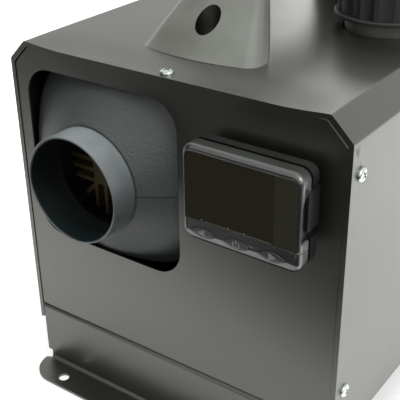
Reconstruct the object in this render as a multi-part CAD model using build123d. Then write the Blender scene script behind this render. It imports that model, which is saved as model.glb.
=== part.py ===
from build123d import *
import math
import os

# Portable diesel air heater in a sheet-steel case, millimetres, +Z up.
# X runs to the right seen from the front, -Y points out of the front.
# The origin is the centre of the four foot holes, on the surface the feet stand on.

# --- Case ---
cover_width = 260.0
cover_length = 390.0
cover_top = 269.0
cover_skirt = 39.0
corner_cut = 14.5
cover_sheet = 1.5
cover_bend = 3.0
panel_sheet = 1.5
panel_bend = 2.0
panel_side_gap = 0.6
panel_top_gap = 1.0
panel_recess = 0.5
panel_flange = 20.0
panel_notch = 5.0

# --- Stand ---
floor_top = 53.0
stand_sheet = 2.0
stand_bend = 2.5
stand_crease = 4.5
stand_side_inset = 3.5
foot_depth = 24.0
foot_end_radius = 20.0
foot_hole_radius = 4.25
foot_hole_spacing = 194.0
foot_hole_reach = 14.0
bend_notch = 4.0
stand_lip = 12.0
lip_end_gap = 14.0

# --- Case screws ---
screw_radius = 1.9
screw_length = 9.0
screw_head_radius = 4.5
screw_head_height = 2.6
screw_clearance = 0.1
screw_row = 11.0
top_screw_row = 7.0
screw_high_z = 233.0
screw_low_z = 81.0

# --- Heater body ---
heater_margin = 9.0
heater_z = 187.0
heater_width = 136.0
heater_height = 134.0
body_rise = 1.5
heater_corner = 36.0
nose_reach = 11.0
nose_flat_margin = 2.0
nose_slope = 34.0
nose_edge = 8.0
shell_wall = 2.5
shell_length = 355.0
seam_drop = 1.5
seam_groove_width = 0.8
seam_groove_depth = 0.5
opening_lap = 4.0
opening_corner = 21.0

# --- Outlet ring ---
ring_radius = 37.5
ring_wall = 1.8
ring_length = 20.0
ring_seat = 9.0
ring_seat_step = 0.5
ring_lip_round = 0.6

# --- Heat exchanger ---
exchanger_setback = 28.0
exchanger_length = 190.0
core_front = 44.0
core_rear = 74.0
cavity_front_radius = 17.0
cavity_rear_radius = 29.0
cavity_end_wall = 8.0
fin_thickness = 3.0
level_fin_pitch = 8.0
upright_fin_pitch = 9.0
fin_front_margin = 7.5
fin_front_length = 23.0
fins_per_side = 6
fin_gap_to_shell = 4.5
base_height = 6.0
base_side_margin = 18.0
base_start = 116.0
base_length = 154.0

# --- Burner ---
gasket_thickness = 2.0
burner_flange_thickness = 6.0
burner_flange_margin = 6.0
burner_tube_radius = 19.0
burner_tube_wall = 1.5
burner_tube_length = 105.0
burner_hole_radius = 3.0
burner_hole_rings = 3
burner_holes_per_ring = 6
air_passage_radius = 12.0
plug_offset = 174.0
plug_body_radius = 4.0
plug_tip_radius = 2.4
plug_boss_radius = 8.0
plug_hex = 12.0
sensor_offset = 108.0

# --- Blower and motor ---
housing_length = 26.0
housing_gap = 10.5
housing_wall = 4.0
impeller_radius = 33.0
impeller_gap = 2.0
impeller_blades = 12
motor_radius = 25.0
motor_length = 56.0
motor_wall = 2.0
shaft_radius = 3.0
bush_radius = 5.5
bush_length = 8.0
running_gap = 0.05
magnet_thickness = 3.4
magnet_span = 130.0
armature_gap = 0.9
armature_length = 34.0
armature_slots = 8
fan_shell_gap = 7.5
fan_hub_radius = 24.0
fan_depth = 26.0
fan_blades = 9
fan_gap = 1.6
shroud_wall = 2.5
shroud_depth = 30.0
shroud_plate = 3.0
inlet_depth = 18.0
inlet_bar = 3.2
inlet_bar_pitch = 10.0
unit_side_margin = 22.0
unit_length = 58.0
unit_height = 24.0

# --- Heater mounting and pipes ---
pad_thickness = 3.0
bracket_sheet = 2.0
bracket_margin = 8.0
bracket_foot = 14.0
bracket_lead = 13.0
bracket_length = 175.0
stud_radius = 3.0
stud_side = 8.0
stud_end = 12.0
stud_spacing = 128.0
nut_flats = 10.0
nut_height = 5.0
exhaust_offset = 153.0
intake_offset = 211.0
exhaust_radius = 12.0
intake_radius = 12.5
pipe_step = 1.5
pipe_wall = 1.5
pipe_end = 16.0
pipe_step_z = 48.0
pipe_socket = 8.0
grommet_wall = 3.0
grommet_flange = 3.0
grommet_flange_thickness = 1.5

# --- Fuel tank and cap ---
tank_side_margin = 6.0
tank_setback = 35.0
tank_width = 98.0
tank_length = 310.0
tank_height = 182.0
tank_wall = 2.5
tank_corner = 16.0
tank_edge = 8.0
filler_side = 3.0
filler_lead = 29.0
collar_radius = 28.5
collar_rise = 9.0
collar_hole_gap = 1.5
neck_radius = 25.0
neck_bore = 20.0
neck_rise = 18.0
cap_rim_radius = 36.2
cap_rim_height = 2.8
cap_skirt_radius = 33.6
cap_height = 30.0
cap_flutes = 16
cap_flute_depth = 1.5
cap_flute_radius = 11.0
cap_clearance = 0.4
seal_thickness = 2.5
thread_pitch = 5.0
thread_depth = 1.2

# --- Fuel line ---
fuel_run_z = 80.0
pump_side = 32.0
pump_offset = 178.0
pump_radius = 14.0
pump_length = 86.0
pump_nipple = 3.0
pump_nipple_length = 16.0
sleeve_wall = 4.0
sleeve_width = 26.0
strap_thickness = 1.5
tank_outlet_lead = 107.0
hose_radius = 5.0
hose_bore = 3.0
hose_bend = 24.0
filter_reach = 56.0
filter_radius = 10.0
filter_length = 36.0
line_radius = 2.5
line_bend = 12.0
fuel_pipe_radius = 2.5
line_sleeve_wall = 2.0
line_sleeve_length = 16.0
fuel_pipe_offset = 24.0
line_turn_offset = 266.0

# --- Carry handle ---
handle_setback = 29.8
handle_length = 260.4
handle_width = 88.4
grip_width = 31.0
grip_thickness = 22.0
handle_rise = 58.0
leg_slope_run = 56.3
leg_foot = 18.8
leg_inner_run = 40.0
handle_bow = 6.5
handle_screw_inset = 20.7
counterbore_radius = 8.2
counterbore_floor = 6.0
handle_screw_radius = 2.5
handle_screw_head = 5.0
LEG_SECTIONS = (
    # Shares of: outer run, rise, inner run, grip underside, narrowing inside, bow; then two corner radii.
    (0.0, 0.0, 0.0, 0.0, 0.0, 1.0, 10.0, 5.0),
    (0.155, 0.155, 0.105, 0.072, 0.045, 0.71, 9.5, 4.0),
    (0.345, 0.345, 0.255, 0.236, 0.147, 0.58, 9.0, 4.0),
    (0.534, 0.534, 0.415, 0.444, 0.30, 0.49, 8.5, 4.0),
    (0.724, 0.724, 0.62, 0.653, 0.50, 0.43, 8.0, 5.0),
    (0.933, 0.871, 0.89, 0.833, 0.75, 0.38, 8.0, 6.0),
    (1.21, 0.966, 1.24, 0.961, 0.95, 0.38, 8.0, 6.5),
    (1.563, 1.0, 1.73, 1.0, 1.0, 0.38, 8.0, 7.0),
)

# --- Display unit ---
display_side_margin = 15.5
display_z = 211.05
display_width = 80.5
display_height = 62.9
display_corner = 7.0
display_edge = 3.0
display_face = 26.0
frame_depth = 9.5
frame_front_wall = 4.0
frame_wall = 1.8
back_depth = 9.5
back_groove = 2.5
back_groove_depth = 1.9
back_wall = 2.0
holder_shift = 1.35
holder_width = 66.0
holder_height = 48.0
holder_wall = 2.5
holder_corner = 4.0
holder_boss_radius = 6.0
holder_counterbore_radius = 4.3
holder_counterbore = 3.5
holder_screw_spacing = 44.0
holder_cable_radius = 6.0
arm_play = 1.3
arm_thickness = 2.0
arm_reach = 10.0
arm_low_z = 204.0
arm_high_z = 228.7
window_side_margin = 2.45
window_top_margin = 4.3
window_thickness = 1.0
window_corner = 4.5
window_ledge = 4.0
strip_height = 14.3
button_width = 17.0
button_height = 7.0
button_end = 1.2
button_pitch = 23.9
button_shift = -1.65
button_gap = 0.3
button_flange = 1.0
button_flange_margin = 0.8
button_proud = 0.5
board_margin = 4.5
button_travel = 0.6
board_thickness = 1.6
grip_recess = 3.0
grip_recess_front = 1.5
grip_recess_low_z = 199.0
grip_recess_high_z = 225.5
grip_recess_top_z = 232.5
grip_recess_turn = 13.0
grip_recess_round = 8.0
cavity_side_gap = 0.1

# --- Power lead gland ---
gland_side_margin = 70.0
gland_z = 84.0
gland_bore = 4.0
gland_radius = 9.0
gland_thread_radius = 7.9
gland_out = 18.0
gland_in = 12.0

# --- Places worked out from the sizes above ---
front_y = -cover_length / 2
rear_y = cover_length / 2
panel_front = front_y + panel_recess
panel_half = cover_width / 2 - cover_sheet - panel_side_gap
panel_top = cover_top - cover_sheet - panel_top_gap
stand_half = cover_width / 2 - stand_side_inset
heater_x = heater_margin + heater_width / 2 - cover_width / 2
nose_y = front_y - nose_reach
nose_flat_radius = ring_radius + nose_flat_margin
opening_width = heater_width - 2 * opening_lap
opening_height = heater_height - 2 * opening_lap
shell_rear = nose_y + shell_length
inner_half_width = heater_width / 2 - shell_wall
inner_half_height = heater_height / 2 - shell_wall
body_z = heater_z + body_rise
heater_seam_z = heater_z - seam_drop
heater_bottom = body_z - heater_height / 2
boss_top = body_z + inner_half_height - 8.0
pad_bottom = heater_bottom - pad_thickness
exchanger_front = nose_y + exchanger_setback
exchanger_rear = exchanger_front + exchanger_length
fin_front_radius = ring_radius + fin_front_margin
base_width = heater_width - 2 * base_side_margin
base_front = exchanger_front + base_start
base_rear = base_front + base_length
plug_y = exchanger_front + plug_offset
sensor_y = exchanger_front + sensor_offset
exhaust_y = exchanger_front + exhaust_offset
intake_y = exchanger_front + intake_offset
shell_bore = min(inner_half_width, inner_half_height)
housing_radius = shell_bore - housing_gap
burner_flange_radius = housing_radius - burner_flange_margin
fan_radius = shell_bore - fan_shell_gap
unit_width = heater_width - 2 * unit_side_margin
bracket_width = base_width + 2 * bracket_margin
bracket_front = base_front - bracket_lead
bracket_rear = bracket_front + bracket_length
stud_offset = base_width / 2 - stud_side
stud_front = base_front + stud_end
stud_rear = stud_front + stud_spacing
pump_x = heater_x - pump_side
pump_y = exchanger_front + pump_offset
line_turn_y = exchanger_front + line_turn_offset
burner_y = exchanger_rear + gasket_thickness
housing_y = burner_y + burner_flange_thickness
motor_y = housing_y + housing_length
motor_rear = motor_y + motor_length
fan_y = motor_rear + 8.0
fan_rear = fan_y + fan_depth
shaft_front = housing_y + housing_wall + 1.0
tank_x = cover_width / 2 - tank_side_margin - tank_width / 2
tank_y = front_y + tank_setback + tank_length / 2
filler_x = tank_x - filler_side
filler_y = tank_y - filler_lead
tank_outlet_y = tank_y - tank_outlet_lead
filter_x = tank_x - tank_width / 2 - filter_reach
tank_bottom = floor_top
tank_top = tank_bottom + tank_height
collar_top = cover_top + collar_rise
neck_top = collar_top + neck_rise
seal_top = neck_top + seal_thickness
cap_bottom = collar_top + cap_clearance
cap_top = cap_bottom + cap_height
handle_front = front_y + handle_setback
handle_rear = handle_front + handle_length
handle_y = (handle_front + handle_rear) / 2
display_x = cover_width / 2 - display_side_margin - display_width / 2
holder_x = display_x - holder_shift
arm_span = display_width + arm_play
window_width = display_width - 2 * window_side_margin
window_height = display_height - strip_height - button_gap - window_top_margin
gland_x = cover_width / 2 - gland_side_margin
display_front = front_y - display_face
frame_back = display_front + frame_depth
display_back_y = frame_back + back_depth
grip_recess_y = display_front + grip_recess_front
display_bottom = display_z - display_height / 2
seam_z = display_bottom + strip_height
button_z = display_bottom + strip_height / 2
window_z = seam_z + button_gap + window_height / 2


# --- Shape helpers ---
def block(low, high):
    size = [high[i] - low[i] for i in range(3)]
    centre = [(high[i] + low[i]) / 2 for i in range(3)]
    return Pos(*centre) * Box(*size)


def rod_x(y, z, x_low, x_high, radius):
    return Pos((x_low + x_high) / 2, y, z) * Rot(0, 90, 0) * Cylinder(radius, x_high - x_low)


def rod_y(x, z, y_low, y_high, radius):
    return Pos(x, (y_low + y_high) / 2, z) * Rot(90, 0, 0) * Cylinder(radius, y_high - y_low)


def rod_z(x, y, z_low, z_high, radius):
    return Pos(x, y, (z_low + z_high) / 2) * Cylinder(radius, z_high - z_low)


def tube_y(x, z, y_low, y_high, outer, inner):
    return rod_y(x, z, y_low, y_high, outer) - rod_y(x, z, y_low, y_high, inner)


def prism_x(sketch, x_low, x_high):
    """Sketch in Y and Z, extruded along X."""
    plane = Plane(origin=(x_low, 0, 0), x_dir=(0, 1, 0), z_dir=(1, 0, 0))
    return extrude(plane * sketch, amount=x_high - x_low)


def prism_y(sketch, y_low, y_high):
    """Sketch in X and Z, extruded along Y."""
    plane = Plane(origin=(0, y_high, 0), x_dir=(1, 0, 0), z_dir=(0, -1, 0))
    return extrude(plane * sketch, amount=y_high - y_low)


def prism_z(sketch, z_low, z_high):
    """Sketch in X and Y, extruded along Z."""
    return extrude(Pos(0, 0, z_low) * sketch, amount=z_high - z_low)


def folded_sheet(points, bends, thickness, side):
    """Outline of a folded sheet: its outer face follows the points, with one bend radius or one for each."""
    path = Wire(FilletPolyline(*points, radius=bends).edges())
    return make_face(path.offset_2d(thickness, side=side, closed=True).edges())


def revolve_y(points, x, z):
    """Closed outline of (radius, y) points, turned about a line along Y."""
    outline = make_face(Polyline(*points, close=True))
    turned = revolve(outline, Axis.Y)
    return Pos(x, 0, z) * turned


def revolve_z(points, x, y):
    """Closed outline of (radius, z) points, turned about a vertical line."""
    outline = make_face(Polyline(*[(r, 0, z) for r, z in points], close=True))
    turned = revolve(outline, Axis.Z)
    return Pos(x, y, 0) * turned


def in_heater(sketch):
    """Places a sketch on the outlet's axis."""
    return Pos(heater_x, heater_z) * sketch


def in_body(sketch):
    """Places a sketch on the middle of the heater body."""
    return Pos(heater_x, body_z) * sketch


# --- Case ---
def screw_places():
    """Each case screw: its seat on the cover's outer face and the way it points."""
    places = []
    for y in (front_y + screw_row, rear_y - screw_row):
        for side in (-1, 1):
            for z in (screw_low_z, screw_high_z):
                places.append(((side * cover_width / 2, y, z), (side, 0, 0)))
    for y in (front_y + top_screw_row, rear_y - top_screw_row):
        places.append(((0, y, cover_top), (0, 0, 1)))
    return places


def screw_holes(radius):
    """Rods through the cover and the panel flanges at every case screw."""
    rods = []
    for seat, out in screw_places():
        plane = Plane(origin=seat, z_dir=out)
        rods.append(plane * Pos(0, 0, -6) * Cylinder(radius, 16))
    return rods


def cover():
    half = cover_width / 2
    points = [
        (-half, cover_skirt),
        (-half, cover_top - corner_cut),
        (-half + corner_cut, cover_top),
        (half - corner_cut, cover_top),
        (half, cover_top - corner_cut),
        (half, cover_skirt),
    ]
    shell = prism_y(folded_sheet(points, cover_bend, cover_sheet, Side.RIGHT), front_y, rear_y)
    shell -= rod_z(filler_x, filler_y, tank_top, cover_top + 1, collar_radius + collar_hole_gap)
    for y in handle_screw_rows():
        shell -= rod_z(0, y, cover_top - 5, cover_top + 5, handle_screw_radius + screw_clearance)
    for rod in screw_holes(screw_radius + screw_clearance):
        shell -= rod
    return shell


def panel_outline(inset):
    """Front and rear panel outline, cut at the top corners to follow the cover."""
    half = panel_half - inset
    top = panel_top - inset
    cut = corner_cut - 0.6 * inset
    points = [
        (-half, floor_top + inset),
        (-half, top - cut),
        (-half + cut, top),
        (half - cut, top),
        (half, top - cut),
        (half, floor_top + inset),
    ]
    return make_face(Polyline(*points, close=True))


def panel_tray():
    """Folded panel at the front: a sheet with a flange on each straight side."""
    back = panel_front + panel_flange
    sheet_back = panel_front + panel_sheet
    tray = prism_y(panel_outline(0), panel_front, back)
    face = tray.faces().sort_by(Axis.Y)[0]
    tray = fillet(face.edges(), panel_bend)
    tray -= prism_y(panel_outline(panel_sheet), sheet_back, back + 1)
    reach = corner_cut + panel_notch
    for side in (-1, 1):
        edge = side * (panel_half + 1)
        inner = side * (panel_half - reach)
        low_x, high_x = min(edge, inner), max(edge, inner)
        tray -= block((low_x, sheet_back, panel_top - reach), (high_x, back + 1, panel_top + 1))
        inner = side * (panel_half - panel_notch)
        low_x, high_x = min(edge, inner), max(edge, inner)
        tray -= block((low_x, sheet_back, floor_top - 1), (high_x, back + 1, floor_top + panel_notch))
    for rod in screw_holes(screw_radius + screw_clearance):
        tray -= rod
    return tray


def holder_screw_places():
    reach = holder_screw_spacing / 2
    return [(holder_x - reach, display_z), (holder_x + reach, display_z)]


def front_panel():
    tray = panel_tray()
    opening = in_body(RectangleRounded(opening_width, opening_height, opening_corner))
    tray -= prism_y(opening, front_y - 1, panel_front + 5)
    for x, z in holder_screw_places():
        tray -= rod_y(x, z, front_y - 1, panel_front + 5, screw_radius + screw_clearance)
    tray -= rod_y(holder_x, display_z, front_y - 1, panel_front + 5, holder_cable_radius)
    return tray


def rear_panel():
    tray = panel_tray().mirror(Plane.XZ)
    slot = 5.0
    pitch = 11.0
    reach = heater_width / 2 - 12
    count = int((reach - slot) / pitch)
    for i in range(-count, count + 1):
        half = math.sqrt(reach**2 - (i * pitch) ** 2)
        hole = in_heater(Pos(0, i * pitch) * SlotOverall(2 * half, slot))
        tray -= prism_y(hole, rear_y - 5, rear_y + 1)
    tray -= rod_y(gland_x, gland_z, rear_y - 5, rear_y + 1, gland_thread_radius + screw_clearance)
    return tray


def cover_screws():
    shank = screw_length
    outline = [
        (0, -shank),
        (screw_radius, -shank),
        (screw_radius, 0),
        (screw_head_radius, 0),
        (screw_head_radius, 0.35 * screw_head_height),
        (0.8 * screw_head_radius, 0.8 * screw_head_height),
        (0.4 * screw_head_radius, screw_head_height),
        (0, screw_head_height),
    ]
    screw = revolve_z(outline, 0, 0)
    return [Plane(origin=seat, z_dir=out) * screw for seat, out in screw_places()]


def foot_hole_places():
    reach_x = foot_hole_spacing / 2
    reach_y = cover_length / 2 + foot_hole_reach
    return [(x, y) for x in (-reach_x, reach_x) for y in (-reach_y, reach_y)]


def stand():
    """Raised floor, front and rear walls and outward feet, folded from one sheet."""
    wall_y = -panel_front
    toe_y = wall_y + foot_depth
    points = [
        (-toe_y, stand_sheet),
        (-wall_y, stand_sheet),
        (-wall_y, floor_top),
        (wall_y, floor_top),
        (wall_y, stand_sheet),
        (toe_y, stand_sheet),
    ]
    bends = (stand_bend, stand_crease, stand_crease, stand_bend)
    sheet = prism_x(folded_sheet(points, bends, stand_sheet, Side.RIGHT), -stand_half, stand_half)
    toes = [e for e in sheet.edges().filter_by(Axis.Z) if abs(e.center().Y) > toe_y - 1]
    sheet = fillet(toes, foot_end_radius)
    for x, y in foot_hole_places():
        sheet -= rod_z(x, y, -1, stand_sheet + 1, foot_hole_radius)
    for side_x in (-1, 1):
        for side_y in (-1, 1):
            sheet -= rod_x(side_y * wall_y, stand_sheet + stand_bend, side_x * stand_half - bend_notch,
                           side_x * stand_half + bend_notch, bend_notch)
        lip_low = min(side_x * stand_half, side_x * (stand_half - stand_sheet))
        lip = block(
            (lip_low, -wall_y + lip_end_gap, floor_top - stand_lip),
            (lip_low + stand_sheet, wall_y - lip_end_gap, floor_top - stand_sheet / 2),
        )
        sheet += lip
    sheet -= rod_z(heater_x, exhaust_y, floor_top - 5, floor_top + 5, floor_hole(exhaust_radius))
    sheet -= rod_z(heater_x, intake_y, floor_top - 5, floor_top + 5, floor_hole(intake_radius))
    for x, y in bracket_screw_places():
        sheet -= rod_z(x, y, floor_top - 5, floor_top + 5, screw_radius + screw_clearance)
    return sheet


# --- Heater body ---
def heater_envelope(inset):
    """Heater body whose nose slopes back from a flat disc round the outlet, inset from the outer skin."""
    section = in_body(
        RectangleRounded(heater_width - 2 * inset, heater_height - 2 * inset, heater_corner - inset)
    )
    rear = shell_rear + (1 if inset else 0)
    angle = math.radians(nose_slope)
    lag = inset / math.cos(angle) - inset
    front = nose_y + inset
    wide = heater_width
    outline = [
        (0, front),
        (nose_flat_radius - lag / math.tan(angle), front),
        (wide, front + lag + (wide - nose_flat_radius) * math.tan(angle)),
        (wide, rear),
        (0, rear),
    ]
    body = prism_y(section, front, rear) & revolve_y(outline, heater_x, heater_z)
    curves = body.edges().filter_by(GeomType.LINE, reverse=True)
    edges = [e for e in curves if front + 1 < e.center().Y < rear - 1]
    return fillet(edges, nose_edge - inset)


def heater_shell():
    outer = heater_envelope(0)
    shell = outer - heater_envelope(shell_wall)
    half = seam_groove_width / 2
    skin = outer - heater_envelope(seam_groove_depth)
    shell -= skin & block((-200, -300, heater_seam_z - half), (200, 300, heater_seam_z + half))
    return shell - rod_y(heater_x, heater_z, nose_y - 1, nose_y + 10, ring_radius - ring_seat_step)


def shell_upper(shell):
    return shell & block((-200, -300, heater_seam_z), (200, 300, 400))


def shell_lower(shell):
    lower = shell & block((-200, -300, 0), (200, 300, heater_seam_z))
    half = base_width / 2 + 0.5
    return lower - block(
        (heater_x - half, base_front - 0.5, 0),
        (heater_x + half, base_rear + 0.5, heater_bottom + base_height),
    )


def outlet_ring():
    seat_radius = ring_radius - ring_seat_step
    bore = ring_radius - ring_wall
    mouth = nose_y - ring_length
    outline = [
        (bore, mouth + ring_lip_round),
        (bore + ring_lip_round, mouth),
        (ring_radius - ring_lip_round / 2, mouth),
        (ring_radius, mouth + ring_lip_round / 2),
        (ring_radius, nose_y),
        (seat_radius, nose_y),
        (seat_radius, nose_y + ring_seat),
        (bore, nose_y + ring_seat),
    ]
    return revolve_y(outline, heater_x, heater_z)


def inlet_grille():
    """Rear hood of the heater body, with level bars across the air inlet."""
    outer = in_body(RectangleRounded(heater_width, heater_height, heater_corner))
    inner = in_body(
        RectangleRounded(heater_width - 2 * shell_wall, heater_height - 2 * shell_wall,
                         heater_corner - shell_wall)
    )
    hood = prism_y(outer, shell_rear, shell_rear + inlet_depth)
    hood -= prism_y(inner, shell_rear - 1, shell_rear + inlet_depth - shell_wall)
    count = int((inner_half_height - 8) / inlet_bar_pitch)
    slot = inlet_bar_pitch - inlet_bar
    for i in range(-count, count + 1):
        rise = max(0.0, abs(i) * inlet_bar_pitch + slot / 2 - (inner_half_height - heater_corner))
        half = inner_half_width - heater_corner + math.sqrt(heater_corner**2 - rise**2) - 3
        hole = in_body(Pos(0, i * inlet_bar_pitch) * Rectangle(2 * half, slot))
        hood -= prism_y(hole, shell_rear + 1, shell_rear + inlet_depth + 1)
    return hood


# --- Heat exchanger and burner ---
def fin_envelope():
    gap = fin_gap_to_shell
    return RectangleRounded(
        2 * (inner_half_width - gap), 2 * (inner_half_height - gap), heater_corner - shell_wall - gap
    )


def stud_places():
    return [(heater_x + side * stud_offset, y) for side in (-1, 1) for y in (stud_front, stud_rear)]


def heat_exchanger():
    """Finned casting: a flared core, six level and six upright plates, a mounting base."""
    front = Plane(origin=(heater_x, exchanger_front, body_z), x_dir=(1, 0, 0), z_dir=(0, -1, 0))
    rear = Plane(origin=(heater_x, exchanger_rear, heater_z), x_dir=(1, 0, 0), z_dir=(0, -1, 0))
    front_face = front * RectangleRounded(core_front, core_front, core_front / 8)
    rear_face = rear * RectangleRounded(core_rear, core_rear, core_rear / 5)
    core = loft([front_face, rear_face])
    reach = inner_half_width + inner_half_height
    fins = Sketch()
    for i in range(fins_per_side):
        step = i - (fins_per_side - 1) / 2
        fins += Pos(0, step * level_fin_pitch) * Rectangle(reach, fin_thickness)
        fins += Pos(step * upright_fin_pitch, 0) * Rectangle(fin_thickness, reach)
    for angle in (45, 135):
        fins += Rot(0, 0, angle) * Rectangle(2 * reach, fin_thickness)
    fins = in_body(fins & fin_envelope())
    full_front = exchanger_front + fin_front_length
    body = core + prism_y(fins & in_heater(Circle(fin_front_radius)), exchanger_front, full_front)
    body += prism_y(fins, full_front, exchanger_rear - 8)
    half = base_width / 2
    base_top = heater_bottom + base_height
    body += block((heater_x - half, base_front, heater_bottom), (heater_x + half, base_rear, base_top))
    exhaust_boss = exhaust_radius + pipe_step + 3
    body += rod_z(heater_x, exhaust_y, heater_bottom, heater_z - core_front / 2, exhaust_boss)
    body += rod_z(heater_x, plug_y, heater_z, boss_top, plug_boss_radius)
    cavity = Cone(cavity_rear_radius, cavity_front_radius, exchanger_length - cavity_end_wall)
    cavity_mid = exchanger_rear - (exchanger_length - cavity_end_wall) / 2
    body -= Pos(heater_x, cavity_mid, heater_z) * Rot(90, 0, 0) * cavity
    body -= rod_z(heater_x, exhaust_y, heater_bottom - 1, heater_z, exhaust_radius - pipe_wall)
    socket_top = heater_bottom + pipe_socket
    body -= rod_z(heater_x, exhaust_y, heater_bottom - 1, socket_top, exhaust_radius + pipe_step)
    body -= rod_z(heater_x, plug_y, heater_z, heater_z + 100, plug_body_radius + 0.1)
    body -= rod_z(heater_x, plug_y, boss_top, boss_top + 20, plug_boss_radius + 1)
    body -= rod_z(heater_x, intake_y, 0, heater_bottom + 20, intake_radius + pipe_step + 0.5)
    pipe_x = heater_x + fuel_pipe_offset
    fuel_y = burner_y + burner_flange_thickness / 2
    body -= rod_z(pipe_x, fuel_y, 0, heater_bottom + 20, fuel_pipe_radius + 1)
    for x, y in stud_places():
        body -= rod_z(x, y, heater_bottom - 1, base_top + 1, stud_radius)
    sensor_half = 8.0
    body -= block(
        (heater_x - sensor_half, sensor_y - sensor_half, heater_z + sensor_seat_height()),
        (heater_x + sensor_half, sensor_y + sensor_half, heater_z + 100),
    )
    return body


def sensor_seat_height():
    """Top of the core at the sensor, with a flat left proud of it."""
    share = (sensor_y - exchanger_front) / exchanger_length
    return (1 - share) * body_rise + core_front / 2 + share * (core_rear - core_front) / 2 + 1.0


def overheat_sensor():
    seat = heater_z + sensor_seat_height()
    case = block((heater_x - 6, sensor_y - 6, seat), (heater_x + 6, sensor_y + 6, seat + 5))
    case = fillet(case.edges().filter_by(Axis.Z), 2)
    return case + rod_z(heater_x, sensor_y, seat + 5, seat + 9, 3)


def burner():
    """Flange and perforated burner tube, welded together."""
    flange = rod_y(heater_x, heater_z, burner_y, housing_y, burner_flange_radius)
    flange -= rod_y(heater_x, heater_z, burner_y - 1, housing_y + 1, air_passage_radius)
    tube_front = burner_y - burner_tube_length
    inner = burner_tube_radius - burner_tube_wall
    tube = tube_y(heater_x, heater_z, tube_front, burner_y, burner_tube_radius, inner)
    for ring in range(burner_hole_rings):
        y = tube_front + 16 + 22 * ring
        for i in range(burner_holes_per_ring):
            angle = 360 * (i + 0.5) / burner_holes_per_ring
            drill = Rot(0, angle, 0) * rod_z(0, 0, inner - 3, burner_tube_radius + 3, burner_hole_radius)
            tube -= Pos(heater_x, y, heater_z) * drill
    tube -= rod_z(heater_x, plug_y, heater_z, heater_z + burner_tube_radius + 3, plug_tip_radius + 1)
    fuel_y = burner_y + burner_flange_thickness / 2
    flange -= rod_z(heater_x + fuel_pipe_offset, fuel_y, 0, fuel_pipe_top(), fuel_pipe_radius)
    return flange + tube


def fuel_pipe_top():
    edge = math.sqrt(burner_flange_radius**2 - fuel_pipe_offset**2)
    return heater_z - edge + 9.0


def burner_gasket():
    ring = tube_y(heater_x, heater_z, exchanger_rear, burner_y, core_rear / 2 - 1, cavity_rear_radius)
    return ring


def glow_plug():
    """Upright plug: heating tip in the burner tube, body in its boss, hexagon on top."""
    tip_bottom = heater_z + burner_tube_radius - 7
    body_bottom = heater_z + burner_tube_radius + 4
    plug = rod_z(heater_x, plug_y, tip_bottom, body_bottom + 1, plug_tip_radius)
    plug += rod_z(heater_x, plug_y, body_bottom, boss_top, plug_body_radius)
    hexagon = Pos(heater_x, plug_y) * RegularPolygon(plug_hex / 2, 6, major_radius=False)
    plug += prism_z(hexagon, boss_top, boss_top + 4)
    return plug + rod_z(heater_x, plug_y, boss_top + 4, boss_top + 6, 2)


# --- Blower, motor and fan ---
def blower_housing():
    """Cast housing round the combustion impeller, with legs to the base and unit arms."""
    base_top = heater_bottom + base_height
    housing = rod_y(heater_x, heater_z, housing_y, motor_y, housing_radius)
    housing -= block((-200, housing_y - 1, unit_base()), (100, motor_y + 1, 400))
    boss_radius = intake_radius + 3
    housing += rod_z(heater_x, intake_y, base_top, heater_z - burner_flange_radius - 3, boss_radius)
    leg_back = motor_y - 2
    for side in (-1, 1):
        x = heater_x + side * 36
        housing += block((x - 6, housing_y + 3, base_top), (x + 6, leg_back, heater_z - 30))
        arm = heater_x + side * 30
        unit_bottom = unit_base()
        housing += block((arm - 4, motor_y - 4, unit_bottom - 8), (arm + 4, motor_rear - 8, unit_bottom))
    housing -= rod_y(heater_x, heater_z, housing_y + housing_wall, motor_y - housing_wall,
                     impeller_radius + impeller_gap)
    housing -= rod_y(heater_x, heater_z, housing_y - 1, housing_y + housing_wall + 1, air_passage_radius)
    housing -= rod_y(heater_x, heater_z, motor_y - housing_wall - 1, motor_y + 1, shaft_radius + 1)
    housing -= rod_z(heater_x, intake_y, base_top - 1, heater_z - impeller_radius, 8)
    return housing


def unit_base():
    return heater_z + motor_radius + 12


def control_unit():
    """Moulded case of the control unit, with its plug socket at the front."""
    base = unit_base()
    half = unit_width / 2
    low = (heater_x - half, housing_y + 14, base)
    high = (heater_x + half, housing_y + 14 + unit_length, base + unit_height)
    case = block(low, high)
    case = chamfer(case.edges().filter_by(Axis.Y).sort_by(Axis.Z)[-2:], 6)
    case = fillet(case.edges().filter_by(Axis.Z), 3)
    return case + block((heater_x - 14, low[1] - 8, base + 4), (heater_x + 14, low[1], base + 16))


def combustion_impeller():
    """Back plate, hub and swept blades of the combustion air blower."""
    back = motor_y - housing_wall - impeller_gap
    plate = rod_y(heater_x, heater_z, back - 2, back, impeller_radius)
    plate += rod_y(heater_x, heater_z, shaft_front, back, 9)
    blade = Pos(impeller_radius / 2 + 4, 0) * Rot(0, 0, 24) * Rectangle(impeller_radius - 13, 1.6)
    blades = Sketch()
    for i in range(impeller_blades):
        blades += Rot(0, 0, 360 * i / impeller_blades) * blade
    trim = Circle(impeller_radius - 0.4)
    plate += prism_y(in_heater(blades & trim), shaft_front + 4, back - 2)
    return plate - rod_y(heater_x, heater_z, shaft_front - 1, back + 1, shaft_radius)


def motor_can():
    """Closed motor case with a bush seat in each end."""
    can = rod_y(heater_x, heater_z, motor_y, motor_rear, motor_radius)
    can = fillet(can.edges().sort_by(Axis.Y)[-1], 3)
    can -= rod_y(heater_x, heater_z, motor_y + motor_wall, motor_rear - motor_wall,
                 motor_radius - motor_wall)
    for y_low, y_high in bush_spans():
        can += rod_y(heater_x, heater_z, y_low, y_high, bush_radius + 2)
        can -= rod_y(heater_x, heater_z, y_low - 1, y_high + 1, bush_radius)
    return can


def bush_spans():
    return [(motor_y, motor_y + bush_length), (motor_rear - bush_length, motor_rear)]


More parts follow.
